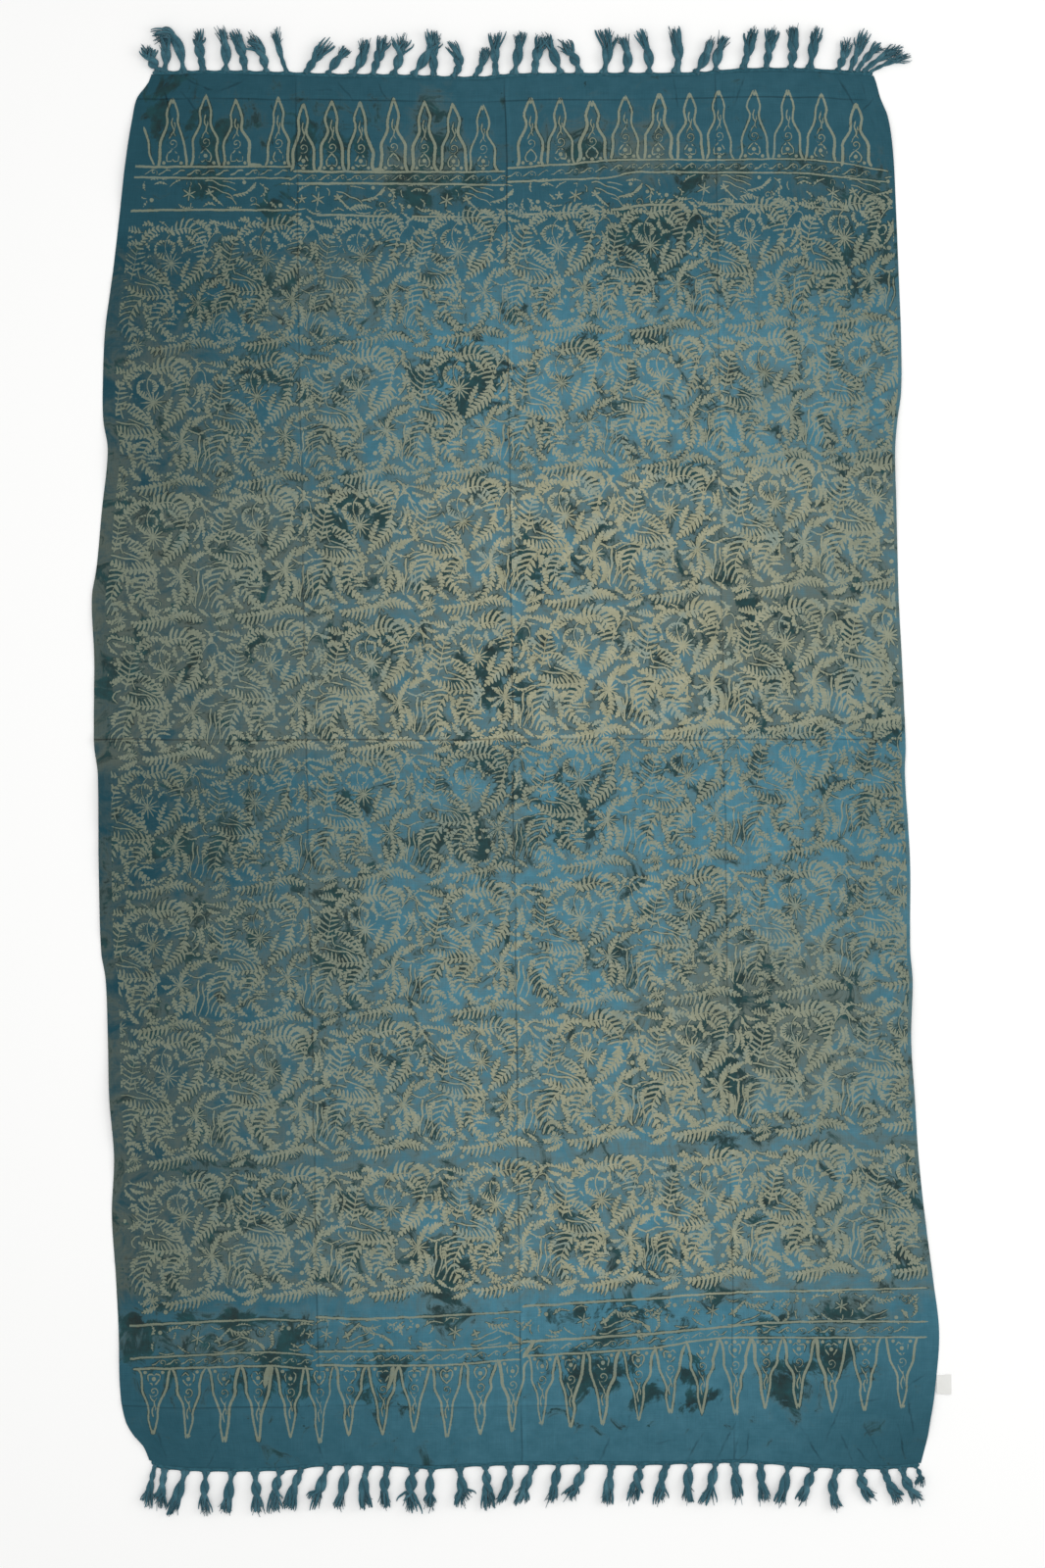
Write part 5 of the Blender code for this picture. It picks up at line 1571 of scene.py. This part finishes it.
# %% The tree that winds the yarns
def make_tassel_tree():
    tree = bpy.data.node_groups.new("wind_tassels", "GeometryNodeTree")
    sizes = [
        ("Tassel lines", "NodeSocketGeometry", None),
        ("Yarns in a ply", "NodeSocketInt", 7),
        ("Turns", "NodeSocketFloat", 1.15),
        ("Ply apart", "NodeSocketFloat", 3.2 * MM),
        ("Yarn apart", "NodeSocketFloat", 2.6 * MM),
        ("Yarn radius", "NodeSocketFloat", 1.5 * MM),
        ("Fray", "NodeSocketFloat", 5.5 * MM),
        ("Seed", "NodeSocketInt", 5),
        ("Material", "NodeSocketMaterial", None),
    ]
    for label, kind, value in sizes:
        socket = tree.interface.new_socket(label, in_out="INPUT", socket_type=kind)
        if value is not None:
            socket.default_value = value
    tree.interface.new_socket("Tassels", in_out="OUTPUT", socket_type="NodeSocketGeometry")
    given = {socket.name: socket for socket in tree.nodes.new("NodeGroupInput").outputs}

    index = add(tree, "GeometryNodeInputIndex")
    marked = add(tree, "GeometryNodeStoreNamedAttribute", given["Tassel lines"], True, "tassel", index,
                 data_type="INT", domain="CURVE")
    girth = add(tree, "GeometryNodeInputRadius")
    marked = add(tree, "GeometryNodeStoreNamedAttribute", marked, True, "girth", girth,
                 data_type="FLOAT", domain="POINT")
    fine = add(tree, "GeometryNodeResampleCurve", marked, True, 30)
    tassel = add(tree, "GeometryNodeInputNamedAttribute", "tassel", data_type="INT")
    girth = add(tree, "GeometryNodeInputNamedAttribute", "girth", data_type="FLOAT")
    part = add(tree, "GeometryNodeSplineParameter")
    ahead = add(tree, "GeometryNodeInputTangent")
    sideways = add(tree, VECTOR_MATH, ahead, (0, 0, 1), operation="CROSS_PRODUCT")
    sideways = add(tree, VECTOR_MATH, sideways, operation="NORMALIZE")

    yarn_total = add(tree, MATH, given["Yarns in a ply"], 2.0, operation="MULTIPLY")
    copies = add(tree, "GeometryNodeDuplicateElements", fine, True, yarn_total, domain="SPLINE")
    number = copies.outputs["Duplicate Index"]
    ply = add(tree, MATH, number, 2.0, operation="MODULO")
    yarn = add(tree, MATH, number, 0.5, operation="MULTIPLY")
    yarn = add(tree, MATH, yarn, operation="FLOOR")
    start = add(tree, RANDOM, 0.0, 6.28, named={"ID": tassel, "Seed": given["Seed"]},
                data_type="FLOAT")
    twist = add(tree, RANDOM, 0.75, 1.3, named={"ID": tassel, "Seed": 77},
                data_type="FLOAT")

    def circle(angle, size):
        """A vector round the tassel's line at an angle, of a size."""
        cosine = add(tree, MATH, angle, operation="COSINE")
        sine = add(tree, MATH, angle, operation="SINE")
        beside = add(tree, VECTOR_MATH, sideways, named={"Scale": cosine}, operation="SCALE")
        sine = add(tree, MATH, sine, FLATTENED, operation="MULTIPLY")
        above = add(tree, "ShaderNodeCombineXYZ", 0.0, 0.0, sine)
        both = add(tree, VECTOR_MATH, beside, above, operation="ADD")
        return add(tree, VECTOR_MATH, both, named={"Scale": size}, operation="SCALE")

    # How full the tassel is along its length: narrow at the hem, full in its middle, loose at its end
    full = add(tree, "ShaderNodeFloatCurve", 1.0, part.outputs["Factor"])
    shape = full.mapping.curves[0].points
    shape[0].location, shape[1].location = (0, 0.85), (1, 0.85)
    for along, size in ((0.06, 0.85), (0.14, 0.58), (0.28, 0.85), (0.45, 0.98), (0.75, 0.95)):
        shape.new(along, size)
    full.mapping.update()
    size = add(tree, MATH, full, girth, operation="MULTIPLY")

    turns = add(tree, MATH, given["Turns"], twist, operation="MULTIPLY")
    turns = add(tree, MATH, turns, 2 * math.pi, operation="MULTIPLY")
    till_open = add(tree, MATH, part.outputs["Factor"], 0.68, operation="MINIMUM")
    wound = add(tree, MATH, till_open, turns, start, operation="MULTIPLY_ADD")
    ply_angle = add(tree, MATH, ply, math.pi, wound, operation="MULTIPLY_ADD")
    parting = add(tree, RANDOM, 0.0, 1.3, named={"ID": tassel, "Seed": 31},
                  data_type="FLOAT")
    opening = add(tree, REMAP, part.outputs["Factor"], 0.5, 1.0, 0.0, 1.0,
                  interpolation_type="SMOOTHSTEP")
    parted = add(tree, MATH, parting, opening, 1.0, operation="MULTIPLY_ADD")
    ply_size = add(tree, MATH, size, given["Ply apart"], operation="MULTIPLY")
    ply_size = add(tree, MATH, ply_size, parted, operation="MULTIPLY")
    ply_off = circle(ply_angle, ply_size)
    share = add(tree, MATH, yarn, given["Yarns in a ply"], operation="DIVIDE")
    yarn_turn = add(tree, MATH, wound, -2.2, operation="MULTIPLY")
    yarn_angle = add(tree, MATH, share, 2 * math.pi, yarn_turn, operation="MULTIPLY_ADD")
    yarn_size = add(tree, MATH, size, given["Yarn apart"], operation="MULTIPLY")
    yarn_off = circle(yarn_angle, yarn_size)

    # Neighbouring yarns part together, in three locks, in some tassels more than in others
    lock = add(tree, MATH, number, 3.0, operation="MODULO")
    one_lock = add(tree, MATH, tassel, 7.0, lock, operation="MULTIPLY_ADD")
    loose = add(tree, RANDOM, (-1, -1, -0.2), (1, 1, 0.4),
                named={"ID": one_lock, "Seed": given["Seed"]}, data_type="FLOAT_VECTOR")
    one_yarn = add(tree, MATH, tassel, 41.0, number, operation="MULTIPLY_ADD")
    own = add(tree, RANDOM, (-0.3, -0.3, -0.2), (0.3, 0.3, 0.2),
              named={"ID": one_yarn, "Seed": given["Seed"]}, data_type="FLOAT_VECTOR")
    loose = add(tree, VECTOR_MATH, loose, own, operation="ADD")
    opening = add(tree, REMAP, part.outputs["Factor"], 0.6, 1.0, 0.0, 1.0,
                  interpolation_type="SMOOTHSTEP")
    opening = add(tree, MATH, opening, given["Fray"], operation="MULTIPLY")
    wild = add(tree, RANDOM, 0.7, 1.8, named={"ID": tassel, "Seed": 63}, data_type="FLOAT")
    opening = add(tree, MATH, opening, wild, operation="MULTIPLY")
    splay = add(tree, VECTOR_MATH, loose, named={"Scale": opening}, operation="SCALE")
    offset = add(tree, VECTOR_MATH, ply_off, yarn_off, operation="ADD")
    offset = add(tree, VECTOR_MATH, offset, splay, operation="ADD")
    wound_yarns = add(tree, "GeometryNodeSetPosition", copies, True, named={"Offset": offset})

    thin_end = add(tree, REMAP, part.outputs["Factor"], 0.86, 1.0, 1.0, 0.45)
    yarn_radius = add(tree, MATH, given["Yarn radius"], thin_end, operation="MULTIPLY")
    yarn_radius = add(tree, MATH, yarn_radius, size, operation="MULTIPLY")

    # The loose threads are short copies of the tassel's last quarter
    tip = add(tree, "GeometryNodeTrimCurve", fine, True, 0.74, 1.0)
    tip = add(tree, "GeometryNodeDuplicateElements", tip, True, LOOSE_THREADS, domain="SPLINE")
    one_thread = add(tree, MATH, tassel, 53.0, tip.outputs["Duplicate Index"], operation="MULTIPLY_ADD")
    tip = add(tree, "GeometryNodeResampleCurve", tip, True, 6)
    way = add(tree, RANDOM, (-1, -1, -0.4), (1, 1, 0.5),
              named={"ID": one_thread, "Seed": 9}, data_type="FLOAT_VECTOR")
    out = add(tree, MATH, part.outputs["Factor"], 1.4, operation="POWER")
    out = add(tree, MATH, out, THREAD_SPREAD, operation="MULTIPLY")
    way = add(tree, VECTOR_MATH, way, named={"Scale": out}, operation="SCALE")
    core = add(tree, RANDOM, (-1, -1, -1), (1, 1, 1), named={"ID": one_thread, "Seed": 12},
               data_type="FLOAT_VECTOR")
    core = add(tree, VECTOR_MATH, core, named={"Scale": TIP_SPREAD}, operation="SCALE")
    way = add(tree, VECTOR_MATH, way, core, operation="ADD")
    threads = add(tree, "GeometryNodeSetPosition", tip, True, named={"Offset": way})
    thread_radius = add(tree, REMAP, part.outputs["Factor"], 0.0, 1.0, 0.9 * MM, 0.4 * MM)

    meshes = []
    for curves, radius, sides in ((wound_yarns, yarn_radius, 5), (threads, thread_radius, 3)):
        place = add(tree, "GeometryNodeInputPosition")
        place = add(tree, "ShaderNodeSeparateXYZ", place)
        lowest = add(tree, MATH, radius, YARN_OFF_FLOOR, operation="ADD")
        height = add(tree, MATH, place.outputs[2], lowest, operation="MAXIMUM")
        above = add(tree, "ShaderNodeCombineXYZ", place.outputs[0], place.outputs[1], height)
        curves = add(tree, "GeometryNodeSetPosition", curves, True, above)
        curves = add(tree, "GeometryNodeStoreNamedAttribute", curves, True, "along", part.outputs["Length"],
                     data_type="FLOAT", domain="POINT")
        curves = add(tree, "GeometryNodeSetCurveRadius", curves, True, 1.0)
        ring = add(tree, "GeometryNodeCurvePrimitiveCircle", sides, named={"Radius": 1.0})
        around = add(tree, "GeometryNodeStoreNamedAttribute", ring, True, "around", part.outputs["Factor"],
                     data_type="FLOAT", domain="POINT")
        meshes.append(add(tree, "GeometryNodeCurveToMesh", curves, around, radius, True))
    joined = add(tree, "GeometryNodeJoinGeometry", meshes[0])
    tree.links.new(meshes[1].outputs[0], joined.inputs[0])
    real = add(tree, "GeometryNodeRealizeInstances", joined)
    finished = add(tree, "GeometryNodeSetMaterial", real, True, given["Material"])
    add(tree, "NodeGroupOutput", finished)
    return tree


tassel_tree = make_tassel_tree()
print("tassel tree:", len(tassel_tree.nodes), "nodes")

# %% [markdown]
# ## Twisted yarn
#
# The yarns are the cloth's own rayon threads, dyed with it, but a twisted bundle looks darker than woven
# cloth, because light is lost between the fibres. Fine slanted stripes stand for the twist, and their darker
# parts are painted shade in its grooves. They are drawn 1.6 mm apart, about twice the real pitch, so that
# they show.

# %% The yarn's material
YARN = colour("#3c6a78")
YARN_DARK = colour("#234b57")
YARN_PALE = colour("#52808d")
TWIST_PITCH = 1.6 * MM


def make_twisted_yarn():
    material, tree, shader = start_material("twisted_rayon_yarn", 0.9, 0.2)
    along = add(tree, "ShaderNodeAttribute", attribute_name="along").outputs["Fac"]
    around = add(tree, "ShaderNodeAttribute", attribute_name="around").outputs["Fac"]
    turn = add(tree, MATH, along, 1 / TWIST_PITCH, around, operation="MULTIPLY_ADD")
    stripe = add(tree, MATH, turn, 0.5, operation="PINGPONG")
    stripe = add(tree, MATH, stripe, 2.0, operation="MULTIPLY")
    place = add(tree, "ShaderNodeTexCoord").outputs["Object"]
    fluff = add(tree, NOISE, place, 900.0, 2.0, 0.6)
    tone = add(tree, NOISE, place, 70.0, 2.0, 0.5)
    mixed = add(tree, MATH, stripe, 0.35, fluff, operation="MULTIPLY_ADD")
    mixed = add(tree, REMAP, mixed, 0.35, 0.95, 0.0, 1.0)
    # The dark of each twist stripe is painted shade in the twist's groove; the fluff noise is the yarn's own
    # tone
    colours = add(tree, MIX, mixed, YARN_DARK, YARN, data_type="RGBA")
    pale = add(tree, REMAP, tone, 0.5, 0.75, 0.0, 0.7)
    colours = add(tree, MIX, pale, colours, YARN_PALE, data_type="RGBA")
    link_looks(tree, shader, colours, mixed, 0.6)
    return material


twisted_yarn = make_twisted_yarn()
print("material:", twisted_yarn.name, len(twisted_yarn.node_tree.nodes), "nodes")


# %% The finished tassels
def wind_tassels(name, end, tassels, seed):
    """Runs the tree on one end's tassels and returns the result as a plain mesh object."""
    lines = make_tassel_lines(name + "_lines", end, tassels)
    lines.data.materials.append(twisted_yarn)
    modifier = lines.modifiers.new("wind", "NODES")
    modifier.node_group = tassel_tree
    items = tassel_tree.interface.items_tree
    sockets = {item.name: item.identifier for item in items if item.in_out == "INPUT"}
    modifier[sockets["Seed"]] = seed
    modifier[sockets["Material"]] = twisted_yarn
    mesh = bpy.data.meshes.new_from_object(lines.evaluated_get(bpy.context.evaluated_depsgraph_get()))
    mesh.name = name
    tidy_normals(mesh)
    bpy.data.objects.remove(lines)
    return put_in_scene(name, mesh)


tassels_top = wind_tassels("tassels_top", 1, TOP_TASSELS, 5)
tassels_bottom = wind_tassels("tassels_bottom", -1, BOTTOM_TASSELS, 8)
for piece in (tassels_top, tassels_bottom):
    print(piece.name, len(piece.data.polygons), "faces", [m.name for m in piece.data.materials])

# %% The hem's material
# A rolled hem is the cloth's own rayon, dyed all through and darker than the field, since it is so thick
rolled_edge, tree, shader = start_material("rolled_dyed_hem", 0.88, 0.03)
place = add(tree, "ShaderNodeTexCoord").outputs["Object"]
grain = add(tree, NOISE, place, 260.0, 3.0)
grain = add(tree, MIX, grain, colour("#133944"), colour("#3a6b79"), data_type="RGBA")
link_looks(tree, shader, grain)
for hem in (hem_top, hem_bottom):
    hem.data.materials.append(rolled_edge)
print("material:", rolled_edge.name, len(rolled_edge.node_tree.nodes), "nodes")

# %% [markdown]
# ## The label
#
# A white tape is folded double and sewn in at the right side. It is left bare here. It is a thin strip that
# runs out from the seam, round its fold and back, a little wavy because it is soft.

# %% Fold the label
LABEL_WIDE = 23
LABEL_THICK = 0.35
LABEL_FOLD_RADIUS = 0.72
LABEL_FOLD_SHARE = 0.12
LABEL_MIDDLE = 0.74
LABEL_OFF_FLOOR = 0.3
LABEL_CURL = 0.25
LABEL_LEAN = math.tan(math.radians(-8))
LABEL_STEPS = 26
LABEL_ROWS = 12


def make_label():
    low, high = (Vector(corner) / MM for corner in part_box("side_label"))
    reach, middle_y = high.x - low.x, (low.y + high.y) / 2
    bm = bmesh.new()
    outer, inner = [], []
    for row in range(LABEL_ROWS + 1):
        across = LABEL_WIDE * (row / LABEL_ROWS - 0.5)
        for grid, depth in ((outer, 0.0), (inner, LABEL_THICK)):
            line = []
            for step in range(LABEL_STEPS + 1):
                t = 2 * step / LABEL_STEPS - 1
                radius = LABEL_FOLD_RADIUS - depth
                bend = max(-1.0, min(1.0, t / LABEL_FOLD_SHARE))
                out = reach - LABEL_FOLD_RADIUS + radius * math.cos(math.pi / 2 * bend)
                if abs(t) > LABEL_FOLD_SHARE:
                    flat_part = (abs(t) - LABEL_FOLD_SHARE) / (1 - LABEL_FOLD_SHARE)
                    out = (reach - LABEL_FOLD_RADIUS) * (1 - flat_part)
                curl = LABEL_CURL * math.sin(across / 5 + out / 6) * out / reach
                up = LABEL_MIDDLE + radius * math.sin(math.pi / 2 * bend) + curl + LABEL_OFF_FLOOR
                y = middle_y + across - out / reach * across * LABEL_LEAN
                line.append(bm.verts.new((low.x + out, y, up)))
            grid.append(line)
    for row in range(LABEL_ROWS):
        for step in range(LABEL_STEPS):
            here, after = outer[row], outer[row + 1]
            bm.faces.new((here[step], here[step + 1], after[step + 1], after[step]))
            here, after = inner[row], inner[row + 1]
            bm.faces.new((here[step], after[step], after[step + 1], here[step + 1]))
        for step in (0, LABEL_STEPS):
            bm.faces.new((outer[row][step], outer[row + 1][step], inner[row + 1][step], inner[row][step]))
    for row in (0, LABEL_ROWS):
        for step in range(LABEL_STEPS):
            bm.faces.new((outer[row][step], outer[row][step + 1], inner[row][step + 1], inner[row][step]))
    bmesh.ops.recalc_face_normals(bm, faces=bm.faces)
    bmesh.ops.scale(bm, vec=(MM, MM, MM), verts=bm.verts)
    mesh = bpy.data.meshes.new("folded_label")
    bm.to_mesh(mesh)
    bm.free()
    mesh.shade_smooth()
    mesh.set_sharp_from_angle(angle=math.radians(50))
    return put_in_scene("folded_label", mesh)


def make_label_tape():
    material, tree, shader = start_material("woven_satin_tape", 0.7, 0.1)
    place = add(tree, "ShaderNodeTexCoord").outputs["Object"]
    rib = add(tree, "ShaderNodeTexWave", place, 320.0, 0.4, 1.0, bands_direction="Y")
    rib = rib.outputs["Fac"]
    tone = add(tree, NOISE, place, 120.0, 3.0)
    both = add(tree, MATH, rib, tone, operation="MULTIPLY")
    # The darker bands between the ribs are painted shade; the noise is the tape's own uneven tone
    colours = add(tree, MIX, both, colour("#dededa"), colour("#f2f2ef"), data_type="RGBA")
    link_looks(tree, shader, colours, rib, 0.4, 0.2 * MM)
    return material


label = make_label()
label.data.materials.append(make_label_tape())
print("label:", len(label.data.polygons), "faces")

# %% [markdown]
# ## Floor, light and camera
#
# The cloth lies on a plain pale floor. A big soft light overhead and a bright even surround leave only
# faint shadows, and a second light from one side brings out the creases. The camera looks straight down.

# %% Set the stage
FLOOR_SIZE = 8.0
CAMERA_HEIGHT = 5.0
FRAME_TALL = 2.048
FRAME_MIDDLE = (0.0011, -0.0176)
SURROUND_STRENGTH = 0.65


def make_floor():
    mesh = bpy.data.meshes.new("floor")
    half = FLOOR_SIZE / 2
    corners = [(-half, -half, 0), (half, -half, 0), (half, half, 0), (-half, half, 0)]
    mesh.from_pydata(corners, [], [range(4)])
    material, tree, shader = start_material("pale_matt_floor", 0.9, 0.0)
    shader.inputs["Base Color"].default_value = colour("#fcfcfb")
    mesh.materials.append(material)
    return put_in_scene("floor", mesh)


def add_light(name, place, size, power):
    """A square light that faces the middle of the cloth."""
    data = bpy.data.lights.new(name, "AREA")
    data.shape = "SQUARE"
    data.size = size
    data.energy = power
    lamp = put_in_scene(name, data)
    lamp.location = place
    lamp.rotation_euler = (-Vector(place)).to_track_quat("-Z", "Y").to_euler()


floor = make_floor()
add_light("softbox_above", (-0.3, 0.1, 3.8), 3.6, 54)
add_light("softbox_side", (2.6, 0.4, 1.6), 1.4, 20)

world = bpy.data.worlds.new("studio")
world.use_nodes = True
world.node_tree.nodes["Background"].inputs["Color"].default_value = (1, 1, 1, 1)
world.node_tree.nodes["Background"].inputs["Strength"].default_value = SURROUND_STRENGTH
bpy.context.scene.world = world
bpy.context.scene.view_settings.view_transform = "Standard"

camera_data = bpy.data.cameras.new("camera")
camera_data.sensor_fit = "VERTICAL"
camera_data.angle_y = 2 * math.atan(FRAME_TALL / 2 / CAMERA_HEIGHT)
camera = put_in_scene("camera", camera_data)
camera.location = (*FRAME_MIDDLE, CAMERA_HEIGHT)
bpy.context.scene.camera = camera
print("camera", CAMERA_HEIGHT, "m above the cloth")

# %% [markdown]
# ## Put each piece on the body
#
# Each new piece rides on the one body and stands for the plain solid that it replaces, which is hidden.

for piece in (panel, hem_top, hem_bottom, tassels_top, tassels_bottom, label):
    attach(piece, "root")
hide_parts("cloth_panel")
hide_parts("fringe_top")
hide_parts("fringe_top")
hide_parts("fringe_bottom")
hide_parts("fringe_bottom")
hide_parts("side_label")
